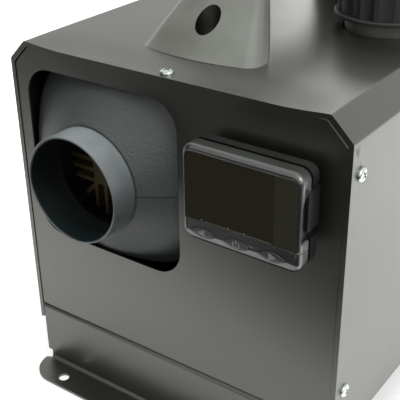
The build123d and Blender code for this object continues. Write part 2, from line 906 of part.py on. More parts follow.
def motor_bushes():
    bore = shaft_radius + running_gap
    return [tube_y(heater_x, heater_z, low, high, bush_radius, bore) for low, high in bush_spans()]


def motor_magnets():
    outer = motor_radius - motor_wall
    inner = outer - magnet_thickness
    middle = (motor_y + motor_rear) / 2
    low = middle - armature_length / 2 - 1
    high = middle + armature_length / 2 + 1
    magnets = []
    for start in (-magnet_span / 2, 180 - magnet_span / 2):
        outer_arc = CenterArc((0, 0), outer, start, magnet_span)
        inner_arc = CenterArc((0, 0), inner, start, magnet_span)
        sides = [Line(outer_arc @ 0, inner_arc @ 0), Line(outer_arc @ 1, inner_arc @ 1)]
        outline = make_face([*outer_arc.edges(), *inner_arc.edges(), *sides[0].edges(), *sides[1].edges()])
        magnets.append(prism_y(in_heater(outline), low, high))
    return magnets


def armature():
    """Slotted core and commutator, fixed on the shaft."""
    radius = motor_radius - motor_wall - magnet_thickness - armature_gap
    middle = (motor_y + motor_rear) / 2
    low = middle - armature_length / 2
    high = middle + armature_length / 2
    core = rod_y(heater_x, heater_z, low, high, radius)
    slots = Sketch()
    for i in range(armature_slots):
        slots += Rot(0, 0, 360 * i / armature_slots) * Pos(radius - 3, 0) * Rectangle(8, 3)
    core -= prism_y(in_heater(slots), low - 1, high + 1)
    core += rod_y(heater_x, heater_z, low - 2, low, 8)
    return core - rod_y(heater_x, heater_z, low - 3, high + 1, shaft_radius)


def motor_shaft():
    return rod_y(heater_x, heater_z, shaft_front, fan_rear - 4, shaft_radius)


def fan_blade():
    """One blade, lofted from its root chord to a flatter chord at the tip."""
    sections = []
    root = fan_hub_radius - 2
    for share, angle, chord in ((0.0, 52, 24), (0.5, 40, 27), (1.0, 30, 30)):
        radius = root + share * (fan_radius - root)
        plane = Plane(origin=(radius, 0, 0), x_dir=(0, 1, 0), z_dir=(1, 0, 0))
        profile = Rot(0, 0, 90 - angle) * Rectangle(chord * 0.92, 2.2)
        sections.append(plane * profile)
    return loft(sections, ruled=True)


def hot_air_fan():
    """Axial fan: a cup-shaped hub with twisted blades."""
    hub = rod_y(0, 0, fan_y, fan_rear, fan_hub_radius)
    hub = fillet(hub.edges().sort_by(Axis.Y)[-1], 6)
    hub -= rod_y(0, 0, fan_y - 1, fan_rear - 5, fan_hub_radius - 3)
    hub += rod_y(0, 0, fan_y + 4, fan_rear - 4, 8)
    blade = Pos(0, (fan_y + fan_rear) / 2, 0) * fan_blade()
    trim = rod_y(0, 0, fan_y, fan_rear, fan_radius) - rod_y(0, 0, fan_y, fan_rear, fan_hub_radius - 1.5)
    blade = blade & trim
    for i in range(fan_blades):
        hub += Rot(0, 360 * i / fan_blades, 0) * blade
    hub -= rod_y(0, 0, fan_y - 1, fan_rear - 4, shaft_radius)
    return Pos(heater_x, 0, heater_z) * hub


def fan_shroud():
    """Bulkhead that fills the shell round the fan, with a short round duct."""
    bore = fan_radius + fan_gap
    low = (fan_y + fan_rear - shroud_depth) / 2
    duct = tube_y(heater_x, heater_z, low, low + shroud_depth, bore + shroud_wall, bore)
    plate = in_body(
        RectangleRounded(2 * inner_half_width, 2 * inner_half_height, heater_corner - shell_wall)
    )
    plate_low = low + shroud_depth - shroud_plate
    bulkhead = prism_y(plate, plate_low, plate_low + shroud_plate)
    bulkhead -= rod_y(heater_x, heater_z, plate_low - 1, plate_low + shroud_plate + 1, bore)
    return duct + bulkhead


# --- Heater mounting and pipes ---
def bracket_screw_places():
    reach = bracket_width / 2 + bracket_foot / 2 + 1
    rows = (bracket_front + 15, bracket_rear - 15)
    return [(heater_x + side * reach, y) for side in (-1, 1) for y in rows]


def pass_holes(plate, z_low, z_high):
    """Cuts the pipe, fuel pipe and stud holes through a level plate."""
    for y, radius in ((exhaust_y, exhaust_radius), (intake_y, intake_radius)):
        plate -= rod_z(heater_x, y, z_low, z_high, radius + pipe_step + 0.5)
    fuel_y = burner_y + burner_flange_thickness / 2
    plate -= rod_z(heater_x + fuel_pipe_offset, fuel_y, z_low, z_high, fuel_pipe_radius + 2)
    for x, y in stud_places():
        plate -= rod_z(x, y, z_low, z_high, stud_radius + 0.1)
    return plate


def heater_bracket():
    half = bracket_width / 2
    foot = half + bracket_foot
    low = floor_top + bracket_sheet
    points = [
        (heater_x - foot, low),
        (heater_x - half, low),
        (heater_x - half, pad_bottom),
        (heater_x + half, pad_bottom),
        (heater_x + half, low),
        (heater_x + foot, low),
    ]
    profile = folded_sheet(points, stand_bend, bracket_sheet, Side.RIGHT)
    bracket = prism_y(profile, bracket_front, bracket_rear)
    bracket = pass_holes(bracket, pad_bottom - 10, pad_bottom + 5)
    for x, y in bracket_screw_places():
        bracket -= rod_z(x, y, floor_top - 1, low + 1, screw_radius + screw_clearance)
    return bracket


def bracket_screws():
    seat = floor_top + bracket_sheet
    screws = []
    for x, y in bracket_screw_places():
        screw = rod_z(x, y, floor_top - stand_sheet - 2, seat + 1, screw_radius)
        screws.append(screw + rod_z(x, y, seat, seat + 3, 3.5))
    return screws


def mounting_gasket():
    half = base_width / 2 + 4
    pad = block((heater_x - half, base_front - 4, pad_bottom), (heater_x + half, base_rear + 4, heater_bottom))
    pad = fillet(pad.edges().filter_by(Axis.Z), 10)
    return pass_holes(pad, pad_bottom - 5, heater_bottom + 5)


def heater_studs():
    top = heater_bottom + base_height
    bottom = pad_bottom - bracket_sheet - nut_height - 3
    return [rod_z(x, y, bottom, top, stud_radius) for x, y in stud_places()]


def heater_nuts():
    high = pad_bottom - bracket_sheet
    nuts = []
    for x, y in stud_places():
        hexagon = Pos(x, y) * RegularPolygon(nut_flats / 2, 6, major_radius=False)
        nuts.append(prism_z(hexagon, high - nut_height, high) - rod_z(x, y, high - 10, high + 1, stud_radius))
    return nuts


def stub_pipe(y, radius, top):
    """Upright pipe with a stepped free end that a hose or exhaust tube slides over."""
    upper = radius + pipe_step
    outline = [
        (radius - pipe_wall, pipe_end),
        (radius, pipe_end),
        (radius, pipe_step_z - pipe_step),
        (upper, pipe_step_z),
        (upper, top),
        (radius - pipe_wall, top),
    ]
    return revolve_z(outline, heater_x, y)


def exhaust_pipe():
    return stub_pipe(exhaust_y, exhaust_radius, heater_bottom + pipe_socket)


def intake_pipe():
    return stub_pipe(intake_y, intake_radius, heater_bottom + base_height)


def floor_hole(radius):
    return radius + pipe_step + grommet_wall


def floor_grommets():
    """Rubber rings that seal both pipes in the floor."""
    rings = []
    for y, radius in ((exhaust_y, exhaust_radius), (intake_y, intake_radius)):
        bore = radius + pipe_step
        hole = floor_hole(radius)
        wide = hole + grommet_flange
        under = floor_top - stand_sheet
        outline = [
            (bore, under - grommet_flange_thickness),
            (wide, under - grommet_flange_thickness),
            (wide, under),
            (hole, under),
            (hole, floor_top),
            (wide, floor_top),
            (wide, floor_top + grommet_flange_thickness),
            (bore, floor_top + grommet_flange_thickness),
        ]
        rings.append(revolve_z(outline, heater_x, y))
    return rings


def fuel_inlet_pipe():
    fuel_y = burner_y + burner_flange_thickness / 2
    return rod_z(heater_x + fuel_pipe_offset, fuel_y, fuel_pipe_end(), fuel_pipe_top(), fuel_pipe_radius)


def fuel_pipe_end():
    return pad_bottom - bracket_sheet - 14


# --- Fuel tank and cap ---
def fuel_tank():
    """Blow-moulded tank with a collar through the cover and a threaded neck."""
    corner = Pos(tank_x, tank_y)
    body = prism_z(corner * RectangleRounded(tank_width, tank_length, tank_corner), tank_bottom, tank_top)
    ends = body.faces().filter_by(Axis.Z)
    body = fillet([e for face in ends for e in face.edges()], tank_edge)
    hollow = prism_z(
        corner * RectangleRounded(tank_width - 2 * tank_wall, tank_length - 2 * tank_wall,
                                  tank_corner - tank_wall),
        tank_bottom + tank_wall,
        tank_top - tank_wall,
    )
    ends = hollow.faces().filter_by(Axis.Z)
    hollow = fillet([e for face in ends for e in face.edges()], tank_edge - tank_wall)
    neck = rod_z(filler_x, filler_y, tank_top - tank_wall, collar_top, collar_radius)
    neck += rod_z(filler_x, filler_y, collar_top, neck_top, neck_radius)
    for i in range(2):
        z = neck_top - 4 - i * thread_pitch
        neck += rod_z(filler_x, filler_y, z - 1.2, z, neck_radius + thread_depth)
    body += neck
    body -= hollow
    body -= rod_z(filler_x, filler_y, tank_top - 2 * tank_wall, neck_top + 1, neck_bore)
    return body - rod_x(tank_outlet_y, fuel_run_z, tank_x - tank_width, tank_x - 20, 5)


def tank_cap():
    """Screw cap: fluted skirt over a wider rim, hollow over the neck."""
    inner = neck_radius + thread_depth + cap_clearance
    edge = 2.0
    outline = [
        (0, seal_top),
        (inner, seal_top),
        (inner, cap_bottom),
        (cap_rim_radius - 0.6, cap_bottom),
        (cap_rim_radius, cap_bottom + 0.6),
        (cap_rim_radius, cap_bottom + cap_rim_height - 0.8),
        (cap_rim_radius - 0.8, cap_bottom + cap_rim_height),
        (cap_skirt_radius, cap_bottom + cap_rim_height),
        (cap_skirt_radius, cap_top - edge),
        (cap_skirt_radius - edge, cap_top),
        (0, cap_top),
    ]
    cap = revolve_z(outline, filler_x, filler_y)
    reach = cap_skirt_radius + cap_flute_radius - cap_flute_depth
    for i in range(cap_flutes):
        angle = math.radians(360 * i / cap_flutes)
        x = filler_x + reach * math.cos(angle)
        y = filler_y + reach * math.sin(angle)
        cap -= rod_z(x, y, cap_bottom + cap_rim_height, cap_top + 1, cap_flute_radius)
    return cap


def cap_seal():
    radius = neck_radius + thread_depth - 0.2
    return rod_z(filler_x, filler_y, neck_top, seal_top, radius)


# --- Fuel line ---
def tank_outlet():
    """Elbowless outlet: a nut inside the tank wall and a stem for the hose."""
    wall_x = tank_x - tank_width / 2
    stem = rod_x(tank_outlet_y, fuel_run_z, wall_x - 22, wall_x + 8, 5)
    stem += rod_x(tank_outlet_y, fuel_run_z, wall_x - 4, wall_x, 9)
    stem += rod_x(tank_outlet_y, fuel_run_z, wall_x + tank_wall, wall_x + tank_wall + 4, 9)
    stem -= rod_x(tank_outlet_y, fuel_run_z, wall_x - 22, wall_x - 4, 6) - rod_x(
        tank_outlet_y, fuel_run_z, wall_x - 22, wall_x - 4, hose_bore
    )
    return stem - rod_x(tank_outlet_y, fuel_run_z, wall_x - 23, wall_x + 9, 1.5)


def hose_start_x():
    return tank_x - tank_width / 2 - 5


def swept_tube(points, bend, outer, bore):
    path = FilletPolyline(*points, radius=bend)
    plane = Plane(origin=path @ 0, z_dir=path % 0)
    tube = sweep(plane * Circle(outer), path=path)
    return tube - sweep(plane * Circle(bore), path=path)


def tank_hose():
    """Hose from the tank outlet to the filter."""
    filter_end = filter_x + filter_length / 2
    return rod_x(tank_outlet_y, fuel_run_z, filter_end + 4, hose_start_x(), hose_radius) - rod_x(
        tank_outlet_y, fuel_run_z, filter_end + 3, hose_start_x() + 1, hose_bore
    )


def fuel_filter():
    low = filter_x - filter_length / 2
    high = filter_x + filter_length / 2
    body = rod_x(tank_outlet_y, fuel_run_z, low, high, filter_radius)
    body = chamfer(body.edges(), 3)
    return body + rod_x(tank_outlet_y, fuel_run_z, low - 14, high + 14, hose_bore)


def pump_hose():
    """Hose from the filter round to the pump inlet."""
    filter_end = filter_x - filter_length / 2
    points = [
        (filter_end - 4, tank_outlet_y, fuel_run_z),
        (pump_x, tank_outlet_y, fuel_run_z),
        (pump_x, pump_y - pump_length / 2 - 3, fuel_run_z),
    ]
    return swept_tube(points, hose_bend, hose_radius, hose_bore)


def fuel_pump():
    """Metering pump: steel body, nipple at each end and a plug socket on top."""
    low, high = pump_y - pump_length / 2, pump_y + pump_length / 2
    body = rod_y(pump_x, fuel_run_z, low, high, pump_radius)
    body = chamfer(body.edges(), 2)
    body += rod_y(pump_x, fuel_run_z, low - pump_nipple_length, high, pump_nipple)
    body += rod_y(pump_x, fuel_run_z, high, pump_outlet_y(), line_radius)
    return body + block((pump_x - 7, high - 20, fuel_run_z), (pump_x + 7, high - 4, fuel_run_z + 20))


def pump_outlet_y():
    return pump_y + pump_length / 2 + pump_nipple_length


def pump_sleeve():
    half = sleeve_width / 2
    return tube_y(pump_x, fuel_run_z, pump_y - half, pump_y + half, pump_radius + sleeve_wall, pump_radius)


def pump_bracket():
    """Strap round the rubber sleeve, with a foot on the floor."""
    bore = pump_radius + sleeve_wall
    outer = bore + strap_thickness
    half = sleeve_width / 2 - 3
    low, high = pump_y - half, pump_y + half
    strap = tube_y(pump_x, fuel_run_z, low, high, outer, bore)
    stem_half = 6.0
    foot = block((pump_x - stem_half, low, floor_top), (pump_x + stem_half, high, fuel_run_z - bore))
    foot -= rod_y(pump_x, fuel_run_z, low - 1, high + 1, bore)
    return strap + foot


def fuel_line():
    """Hard line from the pump outlet under the bracket and up to the burner."""
    fuel_y = burner_y + burner_flange_thickness / 2
    pipe_x = heater_x + fuel_pipe_offset
    points = [
        (pump_x, pump_outlet_y(), fuel_run_z),
        (pump_x, line_turn_y, fuel_run_z),
        (pipe_x, line_turn_y, fuel_run_z),
        (pipe_x, fuel_y, fuel_run_z),
        (pipe_x, fuel_y, fuel_pipe_end()),
    ]
    return swept_tube(points, line_bend, line_radius, line_radius - 1)


def line_sleeves():
    """Rubber sleeves that join the fuel line to the pump and to the burner pipe."""
    outer = line_radius + line_sleeve_wall
    half = line_sleeve_length / 2
    joint_y = pump_outlet_y()
    fuel_y = burner_y + burner_flange_thickness / 2
    pipe_x = heater_x + fuel_pipe_offset
    joint_z = fuel_pipe_end()
    first = tube_y(pump_x, fuel_run_z, joint_y - half, joint_y + half, outer, line_radius)
    second = rod_z(pipe_x, fuel_y, joint_z - half / 2, joint_z + half, outer)
    second -= rod_z(pipe_x, fuel_y, joint_z - half, joint_z + line_sleeve_length, line_radius)
    return [first, second]


# --- Carry handle ---
def handle_screw_rows():
    return (handle_front + handle_screw_inset, handle_rear - handle_screw_inset)


def handle_section(outer, inner, halves, bow, corners):
    """Four-sided section across the handle with a bowed outer side, from its outer to its inner (y, z) point."""
    depth = math.dist(outer, inner)
    rise = (outer[1] - inner[1]) / depth
    run = (outer[0] - inner[0]) / depth
    plane = Plane(origin=(0, *outer), x_dir=(1, 0, 0), z_dir=(0, -rise, run))
    outer_half, inner_half = halves
    front = ThreePointArc((-outer_half, 0), (0, bow), (outer_half, 0))
    rest = Polyline((outer_half, 0), (inner_half, -depth), (-inner_half, -depth), (-outer_half, 0))
    face = make_face([*front.edges(), *rest.edges()])
    face = fillet(face.vertices().sort_by(Axis.Y)[2:], corners[0])
    return plane * fillet(face.vertices().sort_by(Axis.Y)[:2], corners[1])


def handle_sections():
    """Sections from the front foot over the grip to the rear foot."""
    under = handle_rise - grip_thickness
    narrowing = (handle_width - grip_width) / 2
    front_half = []
    rear_half = []
    for out_run, out_rise, in_run, in_rise, in_narrowing, bow, *corners in LEG_SECTIONS:
        outer_run = handle_bow + out_run * leg_slope_run
        inner_run = handle_bow + leg_foot + in_run * leg_inner_run
        outer_z = cover_top + out_rise * handle_rise
        inner_z = cover_top + in_rise * under
        halves = (handle_width / 2 - out_rise * narrowing, handle_width / 2 - in_narrowing * narrowing)
        shape = (halves, bow * handle_bow, corners)
        front_half.append(
            handle_section((handle_front + outer_run, outer_z), (handle_front + inner_run, inner_z), *shape)
        )
        rear_half.append(
            handle_section((handle_rear - outer_run, outer_z), (handle_rear - inner_run, inner_z), *shape)
        )
    middle = handle_section((handle_y, cover_top + handle_rise), (handle_y, cover_top + under), *shape)
    return [*front_half, middle, *reversed(rear_half)]


def carry_handle():
    """Arched handle lofted through its sections, with a sunk screw in each foot."""
    body = loft(handle_sections())
    for y in handle_screw_rows():
        floor = cover_top + counterbore_floor
        body -= rod_z(0, y, floor, cover_top + handle_rise, counterbore_radius)
        body -= rod_z(0, y, cover_top - 1, floor + 1, handle_screw_radius + screw_clearance)
    return body


def handle_screws():
    seat = cover_top + counterbore_floor
    screws = []
    for y in handle_screw_rows():
        screw = rod_z(0, y, cover_top - 8, seat, handle_screw_radius)
        head = rod_z(0, y, seat, seat + 3, handle_screw_head)
        screws.append(screw + chamfer(head.edges().sort_by(Axis.Z)[-1], 1.2))
    return screws


# --- Display unit ---
def display_section(margin):
    return Pos(display_x, display_z) * RectangleRounded(
        display_width + 2 * margin, display_height + 2 * margin, display_corner + margin
    )


def grip_recesses():
    """Finger recess at each side of the display unit, its upper end curving up towards the back."""
    low, high, top = grip_recess_low_z, grip_recess_high_z, grip_recess_top_z
    back = display_back_y + 1
    turn = grip_recess_y + grip_recess_turn
    outline = make_face(
        Polyline((grip_recess_y, low), (back, low), (back, top), (turn, top), (grip_recess_y, high), close=True)
    )
    front_high = outline.vertices().sort_by(Axis.X)[:2].sort_by(Axis.Y)[-1]
    outline = fillet(front_high, grip_recess_round)
    half = display_width / 2
    right = prism_x(outline, display_x + half - grip_recess, display_x + half + 1)
    left = prism_x(outline, display_x - half - 1, display_x - half + grip_recess)
    return right + left


def display_holder():
    """Hollow wall tray with a bridge whose arms clip round the display's sides."""
    centre = Pos(holder_x, display_z)
    inner = RectangleRounded(holder_width - 2 * holder_wall, holder_height - 2 * holder_wall,
                             holder_corner - holder_wall)
    wall_back = display_back_y + holder_wall
    tray = prism_y(centre * RectangleRounded(holder_width, holder_height, holder_corner),
                   display_back_y, panel_front)
    tray -= prism_y(centre * inner, wall_back, panel_front + 1)
    half = arm_span / 2
    tray += block((holder_x - half, display_back_y, arm_low_z), (holder_x + half, wall_back, arm_high_z))
    for side in (-1, 1):
        edges = (holder_x + side * half, holder_x + side * (half - arm_thickness))
        tray += block((min(edges), display_back_y - arm_reach, arm_low_z), (max(edges), wall_back, arm_high_z))
    seat = display_back_y + holder_counterbore
    for x, z in holder_screw_places():
        tray += rod_y(x, z, display_back_y, panel_front, holder_boss_radius)
        tray -= rod_y(x, z, seat - 1, panel_front + 1, screw_radius + screw_clearance)
        tray -= rod_y(x, z, display_back_y - 1, seat, holder_counterbore_radius)
    return tray - rod_y(holder_x, display_z, display_back_y - 1, panel_front + 1, holder_cable_radius)


def holder_screws():
    seat = display_back_y + holder_counterbore
    screws = []
    for x, z in holder_screw_places():
        screws.append(rod_y(x, z, seat - 2.5, seat, 4) + rod_y(x, z, seat - 1, panel_front + 5, screw_radius))
    return screws


def display_back():
    """Rear shell of the display unit: a groove behind the front frame, then a rim."""
    rim_front = frame_back + back_groove
    shell = prism_y(display_section(0), rim_front, display_back_y)
    shell = fillet(shell.faces().sort_by(Axis.Y)[-1].edges(), 1)
    shell += prism_y(display_section(-back_groove_depth), frame_back, rim_front)
    shell -= grip_recesses()
    pocket = Pos(display_x, display_z) * Rectangle(
        display_width - 2 * board_margin - 2 * back_wall, display_height - 2 * board_margin - 2 * back_wall
    )
    shell -= prism_y(pocket, frame_back - 1, display_back_y - back_wall)
    return shell - rod_y(display_x, display_z, frame_back, display_back_y + 1, 3)


def button_places():
    return [display_x + button_shift + i * button_pitch for i in (-1, 0, 1)]


def button_outline(margin):
    """Lens-shaped button: two flat arcs that meet in short round ends."""
    half, rise, end = button_width / 2 + margin, button_height / 2 + margin, button_end + margin
    shoulder = half - end
    upper = ThreePointArc((-shoulder, end), (0, rise), (shoulder, end))
    lower = ThreePointArc((-shoulder, -end), (0, -rise), (shoulder, -end))
    left = ThreePointArc((-shoulder, end), (-half, 0), (-shoulder, -end))
    right = ThreePointArc((shoulder, end), (half, 0), (shoulder, -end))
    return make_face([*upper.edges(), *lower.edges(), *left.edges(), *right.edges()])


def display_frame():
    """Front frame: soft front edge, seat for the window, holes for the buttons."""
    frame = prism_y(display_section(0), display_front, frame_back)
    face = frame.faces().sort_by(Axis.Y)[0]
    frame = fillet(face.edges(), display_edge)
    frame -= grip_recesses()
    cavity_back = display_front + frame_front_wall
    cavity = Pos(display_x, display_z) * Rectangle(
        display_width - 2 * board_margin + 2 * cavity_side_gap, display_height - 2 * frame_wall
    )
    frame -= prism_y(cavity, cavity_back, frame_back + 1)
    window = Pos(display_x, window_z) * RectangleRounded(window_width, window_height, window_corner)
    frame -= prism_y(window, display_front - 1, display_front + window_thickness)
    sight = Pos(display_x, window_z) * RectangleRounded(
        window_width - 2 * window_ledge, window_height - 2 * window_ledge, window_corner / 2
    )
    frame -= prism_y(sight, display_front - 1, cavity_back + 1)
    for x in button_places():
        hole = Pos(x, button_z) * button_outline(button_gap)
        frame -= prism_y(hole, display_front - 1, cavity_back + 1)
    return frame


def display_window():
    pane = Pos(display_x, window_z) * RectangleRounded(
        window_width - 0.2, window_height - 0.2, window_corner - 0.1
    )
    return prism_y(pane, display_front, display_front + window_thickness)


def display_board():
    """Circuit board with the screen module and three switches on its front."""
    board_back = frame_back
    board_front = board_back - board_thickness
    plate = Pos(display_x, display_z) * Rectangle(
        display_width - 2 * board_margin, display_height - 2 * board_margin
    )
    board = prism_y(plate, board_front, board_back)
    screen = Pos(display_x, window_z) * Rectangle(
        window_width - 3 * window_ledge, window_height - 3 * window_ledge
    )
    board += prism_y(screen, board_front - 1.2, board_front)
    for x in button_places():
        board += rod_y(x, button_z + 2, switch_face(), board_front, 2.2)
    return board


def switch_face():
    """Front of the switch stems, one travel behind the button backs."""
    return button_back() + button_travel + 0.1


def button_back():
    return display_front + frame_front_wall + button_flange + 0.1


def button(x):
    """Press button: lens-shaped face, wider flange behind the frame."""
    face = Pos(x, button_z) * button_outline(0)
    body = prism_y(face, display_front - button_proud, display_front + frame_front_wall + 0.5)
    body = fillet(body.faces().sort_by(Axis.Y)[0].edges(), 0.45)
    flange = Pos(x, button_z) * button_outline(button_flange_margin)
    return body + prism_y(flange, display_front + frame_front_wall + 0.1, button_back())


# --- Power lead gland ---
def cable_gland():
    """Gland body through the rear panel, locknut inside and dome nut outside."""
    outer = rear_y - panel_recess
    body = rod_y(gland_x, gland_z, outer - gland_in, outer + gland_out, gland_thread_radius)
    dome = rod_y(gland_x, gland_z, outer + 6, outer + gland_out, gland_radius)
    body += chamfer(dome.edges().sort_by(Axis.Y)[-1], 4)
    hexagon = Pos(gland_x, gland_z) * RegularPolygon(gland_radius + 1, 6, major_radius=False)
    body += prism_y(hexagon, outer, outer + 5)
    inside = outer - panel_sheet
    body += prism_y(hexagon, inside - 4, inside)
    return body - rod_y(gland_x, gland_z, outer - gland_in - 1, outer + gland_out + 1, gland_bore)


# --- All pieces ---
def all_pieces():
    shell = heater_shell()
    buttons = [button(x) for x in button_places()]
    return {
        "stand": stand(),
        "cover": cover(),
        "cover_screws": cover_screws(),
        "front_panel": front_panel(),
        "rear_panel": rear_panel(),
        "cable_gland": cable_gland(),
        "shell_upper": shell_upper(shell),
        "shell_lower": shell_lower(shell),
        "outlet_ring": outlet_ring(),
        "inlet_grille": inlet_grille(),
        "heat_exchanger": heat_exchanger(),
        "overheat_sensor": overheat_sensor(),
        "burner": burner(),
        "burner_gasket": burner_gasket(),
        "glow_plug": glow_plug(),
        "blower_housing": blower_housing(),
        "control_unit": control_unit(),
        "combustion_impeller": combustion_impeller(),
        "motor_can": motor_can(),
        "motor_bushes": motor_bushes(),
        "motor_magnets": motor_magnets(),
        "armature": armature(),
        "motor_shaft": motor_shaft(),
        "hot_air_fan": hot_air_fan(),
        "fan_shroud": fan_shroud(),
        "heater_bracket": heater_bracket(),
        "bracket_screws": bracket_screws(),
        "mounting_gasket": mounting_gasket(),
        "heater_studs": heater_studs(),
        "heater_nuts": heater_nuts(),
        "exhaust_pipe": exhaust_pipe(),
        "intake_pipe": intake_pipe(),
        "floor_grommets": floor_grommets(),
        "fuel_inlet_pipe": fuel_inlet_pipe(),
        "fuel_tank": fuel_tank(),
        "tank_cap": tank_cap(),
        "cap_seal": cap_seal(),
        "tank_outlet": tank_outlet(),
        "tank_hose": tank_hose(),
        "fuel_filter": fuel_filter(),
        "pump_hose": pump_hose(),
        "fuel_pump": fuel_pump(),
        "pump_sleeve": pump_sleeve(),
        "pump_bracket": pump_bracket(),
        "fuel_line": fuel_line(),
        "line_sleeves": line_sleeves(),
        "carry_handle": carry_handle(),
        "handle_screws": handle_screws(),
        "display_holder": display_holder(),
        "holder_screws": holder_screws(),
        "display_back": display_back(),
        "display_frame": display_frame(),
        "display_window": display_window(),
        "display_board": display_board(),
        "button_left": buttons[0],
        "button_power": buttons[1],
        "button_right": buttons[2],
    }


def write_pieces():
    os.makedirs("parts", exist_ok=True)
    for name, piece in all_pieces().items():
        solids = piece if isinstance(piece, list) else [piece]
        export_step(Compound(children=[s for p in solids for s in p.solids()]), f"parts/{name}.step")


write_pieces()
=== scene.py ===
import math

import bmesh
import bpy
from bpy.props import FloatProperty, FloatVectorProperty, IntProperty, PointerProperty
from mathutils import Matrix, Quaternion, Vector


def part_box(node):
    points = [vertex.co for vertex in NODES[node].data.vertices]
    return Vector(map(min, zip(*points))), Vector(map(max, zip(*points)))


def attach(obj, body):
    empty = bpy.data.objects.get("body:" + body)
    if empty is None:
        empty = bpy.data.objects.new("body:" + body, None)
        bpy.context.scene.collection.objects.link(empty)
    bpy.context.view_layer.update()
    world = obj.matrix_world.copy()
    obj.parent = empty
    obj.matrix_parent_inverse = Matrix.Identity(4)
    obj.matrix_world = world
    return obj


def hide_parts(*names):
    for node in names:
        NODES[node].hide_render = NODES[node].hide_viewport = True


bl_info = {
    "name": "Diesel air heater",
    "version": (1, 0, 0),
    "blender": (4, 5, 0),
    "location": "3D View > Sidebar > Heater",
    "description": "Finishes, small fittings and studio for a portable diesel air heater",
    "category": "Object",
}

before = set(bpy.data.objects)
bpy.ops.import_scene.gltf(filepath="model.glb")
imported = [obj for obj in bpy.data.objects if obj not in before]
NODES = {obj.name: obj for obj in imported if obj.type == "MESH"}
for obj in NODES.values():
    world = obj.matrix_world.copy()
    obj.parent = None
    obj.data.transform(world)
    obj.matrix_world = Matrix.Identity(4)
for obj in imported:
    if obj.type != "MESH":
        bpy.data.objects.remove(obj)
MM = 0.001
UPRIGHT = math.radians(90)
CLOSE = 0.1 * MM  # a vertex this near a plane lies on it
SAME_PLACE = 0.005 * MM  # vertices of a CAD mesh this near each other are merged
BUTTONS = ("button_left", "button_power", "button_right")
VIEWING_EDGE = 97.2 * MM  # right end of the display's viewing area
PRINT_BLUR = 0.5 * MM  # width over which the film's print changes tone
RING_EDGE = 1.2 * MM  # rounded lip of the outlet ring, which keeps the outer colour; inside it the bore is painted dark as shade
HANDLE_HOLE_RADIUS = 8.3 * MM
CURVED_ANGLE = math.radians(20)  # copied meshes are shaded smooth below this
DUST_SPECK = 0.016  # a speck's radius as a share of the spacing between specks


# --- Colour and node helpers ---
def linear(hex_colour):
    """Turns an sRGB hex colour into linear red, green and blue."""
    channels = [int(hex_colour[i : i + 2], 16) / 255 for i in (1, 3, 5)]
    return tuple(c / 12.92 if c <= 0.04045 else ((c + 0.055) / 1.055) ** 2.4 for c in channels)


def add_node(tree, kind, settings=None, values=None, links=None):
    """Adds a node, sets its attributes and socket values, and links sources to its sockets."""
    node = tree.nodes.new(kind)
    for name, value in (settings or {}).items():
        setattr(node, name, value)
    for socket, value in (values or {}).items():
        node.inputs[socket].default_value = value
    for socket, source in (links or {}).items():
        tree.links.new(source, node.inputs[socket])
    return node


def new_finish(name, colour, roughness, metallic=0.0, ior=1.5):
    """Starts a material from its colour and gloss; returns it with its tree and shader."""
    material = bpy.data.materials.new(name)
    material.use_nodes = True
    tree = material.node_tree
    tree.nodes.clear()
    shader = add_node(
        tree,
        "ShaderNodeBsdfPrincipled",
        values={
            "Base Color": (*linear(colour), 1.0),
            "Roughness": roughness,
            "Metallic": metallic,
            "IOR": ior,
        },
    )
    add_node(tree, "ShaderNodeOutputMaterial", links={"Surface": shader.outputs[0]})
    return material, tree, shader


def pattern(tree, kind, size_mm, values=None, stretch=(1, 1, 1)):
    """Adds a texture on object coordinates whose features come about once every size_mm."""
    coordinates = add_node(tree, "ShaderNodeTexCoord")
    scale = [1 / (size_mm * MM * s) for s in stretch]
    mapping = add_node(
        tree, "ShaderNodeMapping", values={"Scale": scale}, links={"Vector": coordinates.outputs["Object"]}
    )
    texture = add_node(
        tree,
        "ShaderNodeTex" + kind,
        values={"Scale": 1.0, **(values or {})},
        links={"Vector": mapping.outputs["Vector"]},
    )
    return texture.outputs[0]


def relief(tree, shader, height, depth_mm, before=None):
    """Raises the surface by a pattern, on top of an earlier relief if one is given."""
    links = {"Height": height}
    if before:
        links["Normal"] = before.outputs["Normal"]
    bump = add_node(
        tree, "ShaderNodeBump", values={"Distance": depth_mm * MM, "Strength": 1.0}, links=links
    )
    tree.links.new(bump.outputs["Normal"], shader.inputs["Normal"])
    return bump


def vary_gloss(tree, shader, share, low, high):
    """Lets the roughness wander between two values with a pattern."""
    spread = add_node(
        tree, "ShaderNodeMapRange", values={"To Min": low, "To Max": high}, links={"Value": share}
    )
    tree.links.new(spread.outputs["Result"], shader.inputs["Roughness"])


def vary_colour(tree, shader, share, dark, light, low=0.35, high=0.65):
    """Lets the colour wander between two hex colours with a pattern."""
    ramp = add_node(tree, "ShaderNodeValToRGB", links={"Fac": share})
    for stop, place, colour in zip(ramp.color_ramp.elements, (low, high), (dark, light)):
        stop.position = place
        stop.color = (*linear(colour), 1)
    tree.links.new(ramp.outputs["Color"], shader.inputs["Base Color"])


def distance_from(tree, point, keep=(1, 1, 1)):
    """Distance of each surface point from a place; an axis is left out by a 0 in keep."""
    coordinates = add_node(tree, "ShaderNodeTexCoord")
    mapping = add_node(
        tree,
        "ShaderNodeMapping",
        values={"Location": [-p * k for p, k in zip(point, keep)], "Scale": keep},
        links={"Vector": coordinates.outputs["Object"]},
    )
    length = add_node(
        tree, "ShaderNodeVectorMath", settings={"operation": "LENGTH"}, links={0: mapping.outputs["Vector"]}
    )
    return length.outputs["Value"]


def closer_than(tree, distance, limit):
    """1 where a distance is below a limit, and 0 elsewhere."""
    test = add_node(
        tree, "ShaderNodeMath", settings={"operation": "LESS_THAN"}, values={1: limit}, links={0: distance}
    )
    return test.outputs[0]


